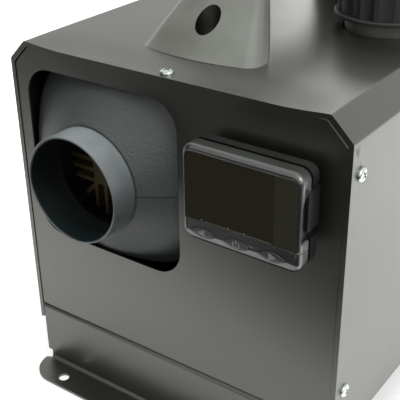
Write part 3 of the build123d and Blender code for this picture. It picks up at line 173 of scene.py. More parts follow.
def along(tree, axis, start, end):
    """Rises from 0 at start to 1 at end along one axis."""
    coordinates = add_node(tree, "ShaderNodeTexCoord")
    split = add_node(tree, "ShaderNodeSeparateXYZ", links={0: coordinates.outputs["Object"]})
    ramp = add_node(
        tree,
        "ShaderNodeMapRange",
        values={"From Min": start, "From Max": end},
        links={"Value": split.outputs[axis]},
    )
    return ramp.outputs["Result"]


def change_colour(tree, shader, share, colour):
    """Mixes another hex colour into the finish where share is 1."""
    under = shader.inputs["Base Color"].links[0].from_socket
    mix = add_node(tree, "ShaderNodeMix", settings={"data_type": "RGBA"}, links={"Factor": share, 6: under})
    mix.inputs[7].default_value = (*linear(colour), 1.0)
    tree.links.new(mix.outputs[2], shader.inputs["Base Color"])


# --- Finishes ---
def satin_powder_coat():
    """Black polyester powder baked on steel sheet: a hard skin that mirrors pale surroundings, blurred."""
    material, tree, shader = new_finish("black powder-coated steel", "#1d1d1a", 0.3, ior=2.12)
    shader.inputs["Specular Tint"].default_value = (*linear("#fdfff3"), 1.0)
    peel = pattern(tree, "Noise", 0.9, {"Detail": 3.0, "Roughness": 0.55})
    flow = pattern(tree, "Noise", 38.0, {"Detail": 4.0, "Roughness": 0.6})
    vary_colour(tree, shader, flow, "#10100e", "#151512")
    dust = pattern(tree, "Voronoi", 34.0)
    change_colour(tree, shader, closer_than(tree, dust, DUST_SPECK), "#6b6b62")
    vary_gloss(tree, shader, flow, 0.33, 0.38)
    relief(tree, shader, peel, 0.012)
    return material


def zinc_plate():
    """Bright zinc plate on steel fasteners: pale, slightly blue, with a fine crystal mottle."""
    material, tree, shader = new_finish("zinc-plated steel", "#c9d0cc", 0.3, metallic=1.0)
    crystals = pattern(tree, "Voronoi", 0.8)
    vary_colour(tree, shader, crystals, "#b3bbb7", "#d6ddd9", 0.1, 0.8)
    vary_gloss(tree, shader, crystals, 0.24, 0.38)
    return material


def bracket_zinc():
    """Zinc-plated sheet with the rolling lines still faintly there."""
    material, tree, shader = new_finish("zinc-plated sheet", "#a9afab", 0.36, metallic=1.0)
    lines = pattern(tree, "Noise", 1.4, {"Detail": 4.0}, stretch=(1, 30, 1))
    vary_gloss(tree, shader, lines, 0.3, 0.46)
    relief(tree, shader, lines, 0.01)
    return material


def grained_nylon(name, grain_depth):
    """Glass-filled nylon from an etched mould: dark grey, leather-like creases with a fine grit."""
    material, tree, shader = new_finish(name, "#4a4e4b", 0.48, ior=1.7)
    leather = {"Detail": 3.0, "Roughness": 0.55, "Distortion": 0.8}
    creases = pattern(tree, "Noise", 1.5, leather, stretch=(1.6, 1, 0.8))
    grit = pattern(tree, "Noise", 1.1, {"Detail": 5.0, "Roughness": 0.65})
    vary_colour(tree, shader, creases, "#383f3c", "#454d49")
    vary_gloss(tree, shader, creases, 0.42, 0.56)
    first = relief(tree, shader, creases, grain_depth)
    relief(tree, shader, grit, 0.07, first)
    return material


def upper_shell_nylon():
    """Upper heater shell, whose deep grain scatters the light."""
    return grained_nylon("glass-filled nylon, leather grain", 0.42)


def lower_shell_nylon():
    """Lower heater shell and inlet grille, nearly smooth."""
    return grained_nylon("glass-filled nylon, fine grain", 0.12)


def ring_moulding():
    """Outlet ring moulded smooth in blue-grey nylon, with faint flow marks; its bore is painted dark teal as
    shade.
    """
    material, tree, shader = new_finish("smooth moulded nylon, blue grey", "#7f8586", 0.34, ior=1.6)
    flow = pattern(tree, "Noise", 16.0, {"Detail": 3.0, "Distortion": 0.6})
    grit = pattern(tree, "Noise", 0.7, {"Detail": 3.0})
    vary_colour(tree, shader, flow, "#7a8081", "#868c8d")
    vary_gloss(tree, shader, flow, 0.3, 0.38)
    low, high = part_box("outlet_ring")
    axis = [(a + b) / 2 for a, b in zip(low, high)]
    # painted shade: the bore inside the lip is coloured dark teal, as the light hardly reaches in there
    shaded_bore = closer_than(tree, distance_from(tree, axis, (1, 0, 1)), (high[0] - low[0]) / 2 - RING_EDGE)
    change_colour(tree, shader, shaded_bore, "#1a2525")
    relief(tree, shader, grit, 0.02)
    return material


def cast_aluminium():
    """Die-cast aluminium, sand-dull, with the tan tint that heat leaves on the exchanger."""
    material, tree, shader = new_finish("die-cast aluminium, heat-tinted", "#8d8974", 0.55, metallic=0.75)
    skin = pattern(tree, "Noise", 2.2, {"Detail": 6.0, "Roughness": 0.7})
    patches = pattern(tree, "Noise", 26.0, {"Detail": 2.0})
    vary_colour(tree, shader, patches, "#6f6242", "#877b5c")
    vary_gloss(tree, shader, skin, 0.48, 0.66)
    relief(tree, shader, skin, 0.12)
    return material


def heat_steel():
    """Heat-resistant steel tube, brown-blue where it has been hot."""
    material, tree, shader = new_finish("heat-tinted stainless steel", "#8f887c", 0.38, metallic=1.0)
    tint = pattern(tree, "Noise", 30.0, {"Detail": 2.0})
    vary_colour(tree, shader, tint, "#7a6f60", "#9b968c")
    vary_gloss(tree, shader, tint, 0.3, 0.5)
    return material


def machined_steel():
    """Turned steel, bright with fine tool marks."""
    material, tree, shader = new_finish("turned steel", "#9c9c99", 0.3, metallic=1.0)
    rings = pattern(tree, "Noise", 0.6, {"Detail": 3.0})
    vary_gloss(tree, shader, rings, 0.24, 0.4)
    relief(tree, shader, rings, 0.008)
    return material


def plain_metal(name, dark, light, roughness):
    """Small inner metal parts: cast, sintered or wound, each with its own two colours."""
    material, tree, shader = new_finish(name, light, roughness, metallic=0.9)
    mottle = pattern(tree, "Noise", 1.6, {"Detail": 5.0})
    vary_colour(tree, shader, mottle, dark, light)
    vary_gloss(tree, shader, mottle, roughness - 0.08, roughness + 0.08)
    relief(tree, shader, mottle, 0.04)
    return material


def spark_eroded_abs(name, dark, light, low_gloss, high_gloss, ior=1.54, grain_mm=0.35, depth_mm=0.02):
    """Moulded ABS from a spark-eroded mould: an even, very fine matt grain."""
    material, tree, shader = new_finish(name, light, low_gloss, ior=ior)
    grain = pattern(tree, "Noise", grain_mm, {"Detail": 3.0, "Roughness": 0.6})
    handling = pattern(tree, "Noise", 22.0, {"Detail": 4.0})
    vary_colour(tree, shader, handling, dark, light)
    vary_gloss(tree, shader, handling, low_gloss, high_gloss)
    relief(tree, shader, grain, depth_mm)
    return material


def screen_glass():
    """Acrylic front film, back-printed black, lighter right of the viewing area: glossy, dusty, wiped."""
    material, tree, shader = new_finish("acrylic film, back-printed black", "#403d31", 0.12, ior=1.49)
    scratches = pattern(tree, "Noise", 0.5, {"Detail": 6.0, "Roughness": 0.7}, stretch=(14, 1, 2))
    dust = pattern(tree, "Voronoi", 7.0)
    vary_colour(tree, shader, dust, "#77776a", "#403d31", 0.02, 0.045)
    border = along(tree, "X", VIEWING_EDGE, VIEWING_EDGE + PRINT_BLUR)
    change_colour(tree, shader, border, "#4d4d41")
    vary_gloss(tree, shader, scratches, 0.08, 0.24)
    relief(tree, shader, scratches, 0.002)
    return material


def handle_moulding():
    """Carry handle, mid-grey polypropylene, satin; its deep screw holes are painted near-black as shade."""
    material = spark_eroded_abs("moulded polypropylene, handle", "#64675f", "#6d7068", 0.28, 0.34, 1.8)
    tree = material.node_tree
    shader = next(n for n in tree.nodes if n.type == "BSDF_PRINCIPLED")
    for place, _ in solid_boxes("handle_screws"):
        # painted shade: the walls of each deep screw bore are coloured near-black, as the light hardly
        # reaches in
        shaded_hole = closer_than(tree, distance_from(tree, place, (1, 1, 0)), HANDLE_HOLE_RADIUS)
        change_colour(tree, shader, shaded_hole, "#181815")
    return material


def moulded_rubber():
    """Black nitrile rubber with a dry bloom."""
    material, tree, shader = new_finish("nitrile rubber", "#1e1e1d", 0.8, ior=1.52)
    bloom = pattern(tree, "Noise", 6.0, {"Detail": 5.0})
    vary_colour(tree, shader, bloom, "#191918", "#262625")
    vary_gloss(tree, shader, bloom, 0.72, 0.9)
    return material


def pressed_fibre():
    """Graphite fibre gasket, pressed from short strands."""
    material, tree, shader = new_finish("pressed fibre gasket", "#55554f", 0.9)
    fibres = pattern(tree, "Noise", 1.2, {"Detail": 8.0, "Roughness": 0.8}, stretch=(5, 1, 1))
    vary_colour(tree, shader, fibres, "#47473f", "#65655d")
    relief(tree, shader, fibres, 0.1)
    return material


def clear_plastic(name, colour, clearness):
    """Clear or milky fuel-proof plastic for the filter and the fuel line."""
    material, tree, shader = new_finish(name, colour, 0.18)
    shader.inputs["Transmission Weight"].default_value = clearness
    haze = pattern(tree, "Noise", 9.0, {"Detail": 3.0})
    vary_gloss(tree, shader, haze, 0.12, 0.28)
    return material


# Which finish each CAD node takes.
FINISHES = {
    satin_powder_coat: ("stand", "front_panel", "rear_panel", "cover"),
    zinc_plate: ("cover_screws", "bracket_screws", "heater_nuts", "handle_screws", "holder_screws"),
    bracket_zinc: ("heater_bracket", "pump_bracket", "motor_can"),
    upper_shell_nylon: ("shell_upper",),
    lower_shell_nylon: ("shell_lower", "inlet_grille"),
    ring_moulding: ("outlet_ring",),
    cast_aluminium: ("heat_exchanger", "blower_housing", "intake_pipe"),
    heat_steel: ("burner", "exhaust_pipe"),
    machined_steel: (
        "overheat_sensor", "glow_plug", "motor_shaft", "heater_studs", "fuel_inlet_pipe", "fuel_pump",
    ),
    screen_glass: ("display_window",),
    moulded_rubber: (
        "floor_grommets", "cap_seal", "tank_hose", "pump_hose", "pump_sleeve", "line_sleeves",
    ),
    pressed_fibre: ("burner_gasket", "mounting_gasket"),
}

# Inner metals: name, dark and light colour, roughness.
METAL_NODES = {
    "motor_bushes": ("sintered bronze", "#7d5a34", "#96703f", 0.5),  # porous, brown
    "motor_magnets": ("pressed ferrite", "#2b2b2b", "#393939", 0.6),  # dull and nearly black
    "armature": ("varnished copper winding", "#7d4424", "#9c5a31", 0.4),  # red-brown, softly glossy
    "tank_outlet": ("turned brass", "#a88545", "#bf9c58", 0.35),  # bright yellow
}

# Mouldings: name, dark and light colour, roughness where polished and where dull, and any IOR.
MOULDED_NODES = {
    # Inner mouldings and fans, dull black.
    ("moulded ABS, black", "#171716", "#1e1e1d", 0.5, 0.62): (
        "control_unit", "combustion_impeller", "hot_air_fan", "fan_shroud",
    ),
    # The display unit: the frame is worn to a soft gloss, its buttons are duller.
    ("moulded ABS, display frame", "#1b1f1a", "#222721", 0.28, 0.36, 2.2): ("display_frame",),
    ("moulded ABS, buttons", "#1b1f1a", "#222721", 0.42, 0.5, 1.8): BUTTONS,
    ("moulded ABS, display back", "#131413", "#1a1b1a", 0.24, 0.32, 1.8): ("display_back",),
    ("moulded ABS, display holder", "#121311", "#191a18", 0.26, 0.34, 1.9): ("display_holder",),
    # The tank's waxy collar is paler than the matt cap on it.
    ("blow-moulded polyethylene, tank", "#5b5c55", "#66675f", 0.42, 0.52): ("fuel_tank",),
    ("moulded polypropylene, cap", "#161715", "#1d1e1c", 0.42, 0.55): ("tank_cap",),
    # A satin gland, and glossy green lacquer on the board.
    ("nylon gland", "#191919", "#222221", 0.4, 0.5): ("cable_gland",),
    ("solder-masked circuit board", "#1c4a2c", "#245a37", 0.3, 0.45): ("display_board",),
}


def clothe(material, *names):
    """Gives one material to the surfaces of CAD nodes."""
    for name in names:
        slots = NODES[name].data.materials
        slots.clear()
        slots.append(material)


# --- Settings ---
def length(name, description, default):
    return FloatProperty(name=name, description=description, default=default, unit="LENGTH")


def power(name, description, default):
    return FloatProperty(name=name, description=description, default=default, unit="POWER")


class StageSettings(bpy.types.PropertyGroup):
    floor_size: length("Floor size", "Side of the square floor", 8.0)
    floor_colour: FloatVectorProperty(
        name="Floor colour", description="Colour of the floor", default=linear("#c4c4c4"), subtype="COLOR"
    )
    floor_glow: FloatProperty(
        name="Floor glow", description="White added to the floor near the heater, where 1 is white",
        default=0.65,
    )
    shadow_reach: length("Shadow reach", "Radius inside which the floor shows the heater's shadow", 0.27)
    white_radius: length("White radius", "Radius outside which the floor is white", 0.4)
    key_energy: power("Key light", "Power of the large soft light", 38.5)
    bounce_energy: power("Bounce light", "Power of the low light on the right", 2.4)
    accent_energy: power("Accent light", "Power of the light seen only as highlights", 24.0)
    back_energy: power("Back light", "Power of the light behind, mirrored in the cover's top", 14.0)
    world_level: FloatProperty(
        name="Sky level", description="Strength of the even light from all round", default=0.35
    )
    flag_distance: length("Flag distance", "How far in front of the origin the black card starts", 0.352)
    side_flag_distance: length("Side flag distance", "How far left of the origin the standing card is", 2.2)
    flag_turn: FloatProperty(
        name="Flag turn", description="Turn of the black card's near edge", default=math.radians(18.0),
        subtype="ANGLE",
    )


class CameraSettings(bpy.types.PropertyGroup):
    place: FloatVectorProperty(
        name="Place", description="Where the camera stands", default=(0.3111, -0.5828, 0.4468), subtype="XYZ"
    )
    view: FloatVectorProperty(
        name="View", description="The way the camera looks", default=(-0.5201, 0.7133, -0.4698),
        subtype="XYZ",
    )
    roll: FloatProperty(
        name="Roll", description="Turn about the line of sight", default=math.radians(-0.9),
        subtype="ANGLE",
    )
    lens: FloatProperty(
        name="Lens", description="Focal length on a 36 mm wide frame", default=78.46,
        subtype="DISTANCE_CAMERA",
    )


class ScrewSettings(bpy.types.PropertyGroup):
    recess_width: length("Recess width", "Width of each arm of the cross", 1.1 * MM)
    recess_span: length("Recess span", "Length of the cross from end to end", 5.0 * MM)
    recess_depth: length("Recess depth", "Depth of the cross", 1.7 * MM)
    facets: IntProperty(name="Facets", description="Sides of each round head", default=40, min=12)


class CoverSettings(bpy.types.PropertyGroup):
    bow: length("Bow", "How far the top's front edge hangs down in the middle", 2.3 * MM)
    bow_reach: length("Bow reach", "Half the length of the edge that hangs fully", 85 * MM)
    edge_turn: FloatProperty(
        name="Edge turn", description="Scale of the inner front edge, which the bent sheet closes in",
        default=0.986,
    )
    corner_cut: length("Corner cut", "Leg of the cover's 45 degree corners", 14.5 * MM)
    bow_fade: length("Bow fade", "Distance over which the bow fades out", 38 * MM)


class DisplaySettings(bpy.types.PropertyGroup):
    slope_height: length("Slope height", "Height of the frame's lower edge that slopes back", 6.6 * MM)
    slope_depth: length("Slope depth", "How far the lower edge slopes back", 2.0 * MM)
    film_margin: length("Film margin", "From the film's edge to the frame's side", 2.2 * MM)
    film_thickness: length("Film thickness", "Thickness of the front film", 0.12 * MM)
    film_corner: length("Film corner", "Radius of the film's upper corners", 4.2 * MM)
    seam_height: length("Seam height", "Height of the dark seam below the film", 0.6 * MM)
    print_thickness: length("Print thickness", "Thickness of printed symbols", 0.05 * MM)
    symbol_size: length("Symbol size", "Height of the symbols on the buttons", 5.2 * MM)


# --- Modelling helpers ---
def clear_selection():
    if bpy.context.object and bpy.context.object.mode != "OBJECT":
        bpy.ops.object.mode_set(mode="OBJECT")
    bpy.ops.object.select_all(action="DESELECT")


def make_active(piece):
    clear_selection()
    bpy.context.view_layer.objects.active = piece
    piece.select_set(True)


def settle(piece, name, material, body, nodes=()):
    """Names a piece, puts its place into its mesh and says what it rides on and stands for."""
    make_active(piece)
    bpy.ops.object.transform_apply(location=True, rotation=True, scale=True)
    piece.name = name
    piece.data.name = name
    piece.data.materials.clear()
    piece.data.materials.append(material)
    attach(piece, body)
    if nodes:
        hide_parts(*nodes)


def apply_modifiers(piece):
    make_active(piece)
    for modifier in list(piece.modifiers):
        bpy.ops.object.modifier_apply(modifier=modifier.name)


def cut_away(piece, tool):
    """Cuts a tool's shape out of a piece and removes the tool."""
    make_active(piece)
    cut = piece.modifiers.new("cut", "BOOLEAN")
    cut.operation = "DIFFERENCE"
    cut.solver = "EXACT"
    cut.object = tool
    bpy.ops.object.modifier_apply(modifier="cut")
    bpy.data.objects.remove(tool)


def select_faces(piece, test):
    """Selects the faces for which test(centre, normal) holds; the piece is in edit mode."""
    mesh = bmesh.from_edit_mesh(piece.data)
    for face in mesh.faces:
        face.select_set(bool(test(face.calc_center_median(), face.normal)))
    mesh.select_flush(True)
    bmesh.update_edit_mesh(piece.data)


def select_vertices(piece, test):
    """Selects the vertices for which test(place) holds; the piece is in edit mode."""
    mesh = bmesh.from_edit_mesh(piece.data)
    for item in (*mesh.faces, *mesh.edges, *mesh.verts):
        item.select_set(False)
    for vertex in mesh.verts:
        vertex.select_set(bool(test(vertex.co)))
    mesh.select_flush(True)
    bmesh.update_edit_mesh(piece.data)


def copy_of_node(node, name):
    """A copy of a CAD node's mesh with its loose triangles merged, in edit mode."""
    piece = bpy.data.objects.new(name, NODES[node].data.copy())
    bpy.context.collection.objects.link(piece)
    make_active(piece)
    bpy.ops.object.mode_set(mode="EDIT")
    bpy.ops.mesh.select_all(action="SELECT")
    bpy.ops.mesh.remove_doubles(threshold=SAME_PLACE)
    return piece


def thicken(piece, thickness, offset=0.0):
    """Gives a flat piece its thickness."""
    make_active(piece)
    wall = piece.modifiers.new("wall", "SOLIDIFY")
    wall.thickness = thickness
    wall.offset = offset
    bpy.ops.object.modifier_apply(modifier="wall")


def upright_plane(place, width, height):
    """A plane facing the front, its size already in its mesh."""
    clear_selection()
    bpy.ops.mesh.primitive_plane_add(size=1, location=place, rotation=(UPRIGHT, 0, 0))
    plane = bpy.context.object
    plane.scale = (width, height, 1)
    bpy.ops.object.transform_apply(location=True, rotation=True, scale=True)
    return plane


def upright_disc(sides, radius, place, turn):
    """A flat polygon facing the front, turned in its own plane."""
    clear_selection()
    bpy.ops.mesh.primitive_circle_add(
        vertices=sides, radius=radius, fill_type="NGON", location=place, rotation=(UPRIGHT, turn, 0)
    )
    return bpy.context.object


def joined(parts):
    """Joins parts into the first one."""
    clear_selection()
    for part in parts:
        part.select_set(True)
    bpy.context.view_layer.objects.active = parts[0]
    bpy.ops.object.join()
    return parts[0]


FRONT_DEPTH = 3 * MM  # what stands nearer the front than this slopes back
SLOPE_ROWS = 4
SLOPE_CURVE = 1.1  # 1 is a flat slope, more starts it softly


def slope_back(piece):
    """Lets the lower part of the display's front slope back."""
    settings = bpy.context.scene.heater_display
    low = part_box("display_frame")[0]
    start = low[2] + settings.slope_height
    front = low[1] + FRONT_DEPTH
    make_active(piece)
    bpy.ops.object.mode_set(mode="EDIT")
    for row in range(SLOPE_ROWS):
        cut = start - row / SLOPE_ROWS * settings.slope_height
        bpy.ops.mesh.select_all(action="SELECT")
        bpy.ops.mesh.bisect(plane_co=(0, 0, cut), plane_no=(0, 0, 1))
    mesh = bmesh.from_edit_mesh(piece.data)
    for vertex in mesh.verts:
        if vertex.co.y < front and vertex.co.z < start:
            share = min(1.0, (start - vertex.co.z) / settings.slope_height)
            vertex.co.y += settings.slope_depth * share**SLOPE_CURVE
    bmesh.update_edit_mesh(piece.data)
    bpy.ops.object.mode_set(mode="OBJECT")


def material_of(node):
    return NODES[node].data.materials[0]


def solid_boxes(node):
    """The box of each loose solid in a CAD node, as (centre, size) pairs in order of place."""
    mesh = bmesh.new()
    mesh.from_mesh(NODES[node].data)
    bmesh.ops.remove_doubles(mesh, verts=mesh.verts, dist=SAME_PLACE)
    boxes = []
    left = set(mesh.verts)
    while left:
        island = {left.pop()}
        edge = list(island)
        while edge:
            near = {e.other_vert(v) for v in edge for e in v.link_edges} - island
            island |= near
            edge = list(near)
        left -= island
        low = Vector([min(v.co[i] for v in island) for i in range(3)])
        high = Vector([max(v.co[i] for v in island) for i in range(3)])
        boxes.append(((low + high) / 2, high - low))
    mesh.free()
    return sorted(boxes, key=lambda box: tuple(box[0]))


# --- Operators ---
class HEATER_OT_camera(bpy.types.Operator):
    """Places the camera where the photograph was taken from"""

    bl_idname = "heater.camera"
    bl_label = "Camera"

    def execute(self, context):
        settings = context.scene.heater_camera
        clear_selection()
        bpy.ops.object.camera_add(location=settings.place)
        camera = context.object
        camera.name = "camera"
        look = Vector(settings.view).to_track_quat("-Z", "Y")
        camera.rotation_mode = "QUATERNION"
        camera.rotation_quaternion = look @ Quaternion((0, 0, 1), settings.roll)
        camera.data.sensor_width = 36
        camera.data.sensor_fit = "HORIZONTAL"
        camera.data.lens = settings.lens
        camera.data.clip_start = 0.01
        context.scene.camera = camera
        return {"FINISHED"}


# The stage, in metres.
FLOOR_GAP = 0.3 * MM  # the floor lies this far below the feet
FLAG_SIZE = (9.0, 2.4, 3.0)  # width, depth, and height of the edge turned up
FLAG_LIFT = 1 * MM
SIDE_FLAG_SIZE = (3.0, 2.6)  # height and length
SIDE_FLAG_MIDDLE = -1.6
# Setting with its power, place, what it points at, size, and the rays that don't meet it.
LIGHTS = (
    ("key_energy", (0.2, -0.25, 2.05), (0, -0.1, 0.15), (1.5, 1.5), "glossy"),
    ("bounce_energy", (0.5, 0.45, 0.002), (0.5, 0.45, 1.0), (0.7, 1.6), "diffuse"),
    ("accent_energy", (1.7, -0.9, 1.5), (0, -0.1, 0.25), (0.9, 0.9), "diffuse"),
    ("back_energy", (-1.0, 2.9, 1.25), (0, 0, 0.27), (1.3, 1.2), "diffuse"),
)


class HEATER_OT_stage(bpy.types.Operator):
    """Sets the pale floor, the soft lights and the white surroundings"""

    bl_idname = "heater.stage"
    bl_label = "Stage"

    def floor(self, settings):
        clear_selection()
        bpy.ops.mesh.primitive_plane_add(size=settings.floor_size, location=(0, 0, -FLOOR_GAP))
        floor = bpy.context.object
        floor.name = "floor"
        material = bpy.data.materials.new("white paper sweep")
        material.use_nodes = True
        tree = material.node_tree
        tree.nodes.clear()
        paper = add_node(tree, "ShaderNodeBsdfDiffuse", values={"Color": (*settings.floor_colour, 1.0)})
        whitening = add_node(
            tree,
            "ShaderNodeMapRange",
            values={
                "From Min": settings.shadow_reach,
                "From Max": settings.white_radius,
                "To Min": settings.floor_glow,
            },
            links={"Value": distance_from(tree, (0, 0, 0))},
        )
        glow = add_node(tree, "ShaderNodeEmission", links={"Strength": whitening.outputs["Result"]})
        black = add_node(tree, "ShaderNodeEmission", values={"Strength": 0.0})
        links = {0: self.background_rays(tree), 1: black.outputs[0], 2: glow.outputs[0]}
        lift = add_node(tree, "ShaderNodeMixShader", links=links)
        both = add_node(tree, "ShaderNodeAddShader", links={0: paper.outputs[0], 1: lift.outputs[0]})
        add_node(tree, "ShaderNodeOutputMaterial", links={"Surface": both.outputs[0]})
        floor.data.materials.append(material)

    def background_rays(self, tree):
        """One for rays that see the background: straight, mirrored or through something clear."""
        rays = add_node(tree, "ShaderNodeLightPath")
        either = rays.outputs["Is Camera Ray"]
        for kind in ("Is Glossy Ray", "Is Transmission Ray"):
            links = {0: either, 1: rays.outputs[kind]}
            either = add_node(tree, "ShaderNodeMath", {"operation": "MAXIMUM"}, links=links).outputs[0]
        return either

    def flag(self, settings):
        """Black card lying in front of the heater with its far edge turned up, seen only in reflections."""
        clear_selection()
        bpy.ops.mesh.primitive_plane_add(size=1)
        card = bpy.context.object
        card.name = "black_flag"
        bpy.ops.object.mode_set(mode="EDIT")
        mesh = bmesh.from_edit_mesh(card.data)
        for edge in mesh.edges:
            edge.select = all(v.co.y < 0 for v in edge.verts)
        mesh.select_flush(False)
        bmesh.update_edit_mesh(card.data)
        width, depth, height = FLAG_SIZE
        bpy.ops.mesh.extrude_region_move(TRANSFORM_OT_translate={"value": (0, 0, height)})
        bpy.ops.object.mode_set(mode="OBJECT")
        card.scale = (width, depth, 1)
        near_edge = Vector((0, -settings.flag_distance, FLAG_LIFT))
        turn = Quaternion((0, 0, 1), settings.flag_turn)
        card.rotation_mode = "QUATERNION"
        card.rotation_quaternion = turn
        card.location = near_edge + turn @ Vector((0, -depth / 2, 0))
        self.blacken(card)

    def side_flag(self, settings):
        """Black card standing at the left, for the dark side of the handle, ring and nose."""
        clear_selection()
        height, length = SIDE_FLAG_SIZE
        bpy.ops.mesh.primitive_plane_add(
            size=1,
            location=(-settings.side_flag_distance, SIDE_FLAG_MIDDLE, height / 2),
            rotation=(0, UPRIGHT, 0),
        )
        card = bpy.context.object
        card.name = "black_side_flag"
        card.scale = (height, length, 1)
        self.blacken(card)

    def blacken(self, card):
        """Makes a card black and hides it from the camera and the shadows."""
        material = bpy.data.materials.get("black card") or bpy.data.materials.new("black card")
        material.use_nodes = True
        shader = material.node_tree.nodes["Principled BSDF"]
        shader.inputs["Base Color"].default_value = (*linear("#0d0d0d"), 1)
        shader.inputs["Roughness"].default_value = 1.0
        shader.inputs["Specular IOR Level"].default_value = 0.0
        card.data.materials.append(material)
        for kind in ("camera", "shadow", "transmission"):
            setattr(card, "visible_" + kind, False)

    def light(self, name, place, target, size, energy, unseen_by):
        """Adds a soft light that the camera and one kind of ray don't meet."""
        clear_selection()
        bpy.ops.object.light_add(type="AREA", location=place)
        lamp = bpy.context.object
        lamp.name = name
        lamp.data.shape = "RECTANGLE"
        lamp.data.size = size[0]
        lamp.data.size_y = size[1]
        lamp.data.energy = energy
        lamp.visible_camera = False
        setattr(lamp, "visible_" + unseen_by, False)
        lamp.rotation_mode = "QUATERNION"
        lamp.rotation_quaternion = (Vector(target) - Vector(place)).to_track_quat("-Z", "Y")

    def sky(self, level):
        """White surroundings behind the heater and in its mirror images, dimmer for its colours."""
        world = bpy.data.worlds.new("studio surroundings")
        bpy.context.scene.world = world
        world.use_nodes = True
        tree = world.node_tree
        tree.nodes.clear()
        dim = add_node(tree, "ShaderNodeBackground", values={"Color": (1, 1, 1, 1), "Strength": level})
        white = add_node(tree, "ShaderNodeBackground", values={"Color": (1, 1, 1, 1), "Strength": 1.0})
        links = {0: self.background_rays(tree), 1: dim.outputs[0], 2: white.outputs[0]}
        mix = add_node(tree, "ShaderNodeMixShader", links=links)
        add_node(tree, "ShaderNodeOutputWorld", links={"Surface": mix.outputs[0]})

    def execute(self, context):
        settings = context.scene.heater_stage
        self.floor(settings)
        self.flag(settings)
        self.side_flag(settings)
        for setting, place, target, size, unseen_by in LIGHTS:
            energy = getattr(settings, setting)
            self.light(setting.replace("_energy", " light"), place, target, size, energy, unseen_by)
        self.sky(settings.world_level)
        context.scene.view_settings.view_transform = "Standard"
        return {"FINISHED"}


class HEATER_OT_finishes(bpy.types.Operator):
    """Gives every CAD node its material"""

    bl_idname = "heater.finishes"
    bl_label = "Finishes"

    def execute(self, context):
        for finish, names in FINISHES.items():
            clothe(finish(), *names)
        for name, recipe in METAL_NODES.items():
            clothe(plain_metal(*recipe), name)
        for recipe, names in MOULDED_NODES.items():
            clothe(spark_eroded_abs(*recipe), *names)
        clothe(handle_moulding(), "carry_handle")
        clothe(clear_plastic("clear nylon", "#d5dad6", 0.7), "fuel_filter")
        clothe(clear_plastic("milky polyamide line", "#d9dad2", 0.25), "fuel_line")
        bare = [name for name in NODES if not NODES[name].data.materials]
        if bare:
            raise RuntimeError(f"no finish for {bare}")
        return {"FINISHED"}


def bow_at(place):
    """How far the cover's top hangs down near its front edge."""
    settings = bpy.context.scene.heater_cover
    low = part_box("cover")[0]
    aside = max(0.0, abs(place.x) - settings.bow_reach)
    near = 1 - min(1.0, math.hypot(aside, place.y - low[1]) / settings.bow_fade)
    return settings.bow * (3 * near**2 - 2 * near**3)


# The copied cover.
COVER_STRIPS = 20  # cuts across the bowed part
COVER_ROWS = (0.1, 0.25, 0.4, 0.6, 0.8, 1.0)  # cuts along it, as shares of the fade
INNER_FACE = 1.3 * MM  # sheet and a little more, so that only inner points are met
INNER_CORNER = 1.9 * MM  # the same at the 45 degree corners, along X plus Z
EDGE_CENTRE = 0.15  # height that the turned edge closes in on
TOP_EDGE = 6 * MM  # height of the top's front edge that hangs down


class HEATER_OT_cover(bpy.types.Operator):
    """Copies the cover and lets the front edge of its top hang down a little, as thin sheet does"""

    bl_idname = "heater.cover"
    bl_label = "Cover"

    def execute(self, context):
        settings = context.scene.heater_cover
        low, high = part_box("cover")
        cover = copy_of_node("cover", "bowed_cover")
        reach = settings.bow_reach + settings.bow_fade
        cuts = [((i / COVER_STRIPS * 2 - 1) * reach, (1, 0, 0)) for i in range(COVER_STRIPS + 1)]
        cuts += [(low[1] + share * settings.bow_fade, (0, 1, 0)) for share in COVER_ROWS]
        for place, normal in cuts:
            bpy.ops.mesh.select_all(action="SELECT")
            bpy.ops.mesh.bisect(plane_co=[place * n for n in normal], plane_no=normal)
        front = low[1] + CLOSE
        side = high[0] - INNER_FACE
        inner = high[2] - INNER_FACE
        corner = high[0] + high[2] - settings.corner_cut - INNER_CORNER
        select_vertices(
            cover, lambda p: p.y < front and p.z < inner and abs(p.x) < side and abs(p.x) + p.z < corner
        )
        bpy.ops.transform.resize(
            value=(settings.edge_turn, 1, settings.edge_turn), center_override=(0, low[1], EDGE_CENTRE)
        )
        middle = settings.bow_reach + MM
        select_vertices(cover, lambda p: abs(p.x) < middle and p.y < front and p.z > high[2] - TOP_EDGE)
        bpy.ops.transform.translate(
            value=(0, 0, -settings.bow),
            use_proportional_edit=True,
            proportional_edit_falloff="SMOOTH",
            proportional_size=settings.bow_fade,
        )
        bpy.ops.object.mode_set(mode="OBJECT")
        bpy.ops.object.shade_smooth_by_angle(angle=CURVED_ANGLE)
        settle(cover, "bowed_cover", material_of("cover"), "case", ("cover",))
        return {"FINISHED"}


class HEATER_OT_display_front(bpy.types.Operator):
    """Copies the display frame and its buttons with their lower edge sloped back"""

    bl_idname = "heater.display_front"
    bl_label = "Display front"

    def execute(self, context):
        for node, body in (("display_frame", "case"), *zip(BUTTONS, BUTTONS)):
            piece = copy_of_node(node, "sloped_" + node)
            slope_back(piece)
            bpy.ops.object.shade_smooth_by_angle(angle=CURVED_ANGLE)
            normals = piece.modifiers.new("normals", "WEIGHTED_NORMAL")
            normals.keep_sharp = True
            apply_modifiers(piece)
            settle(piece, "sloped_" + node, material_of(node), body, (node,))
        return {"FINISHED"}


FILM_CORNER_STEPS = 8
# The seam round the display frame, drawn by thin bands that lie on it: a dark band, and above it a light
# band painted as the highlight on the seam's upper edge.
FRAME_RIM = 1.5 * MM  # at its sides the band keeps this much of the frame
FRONT_SKIN = 0.5 * MM  # and between them what is this near the front
SEAM_DROP = 0.3 * MM  # from the film down to the seam
SEAM_PROUD = 0.03 * MM
SEAM_HIGHLIGHT = 0.34 * MM  # height of the painted highlight band, wider than the real edge, so that it shows
HIGHLIGHT_PROUD = 0.05 * MM


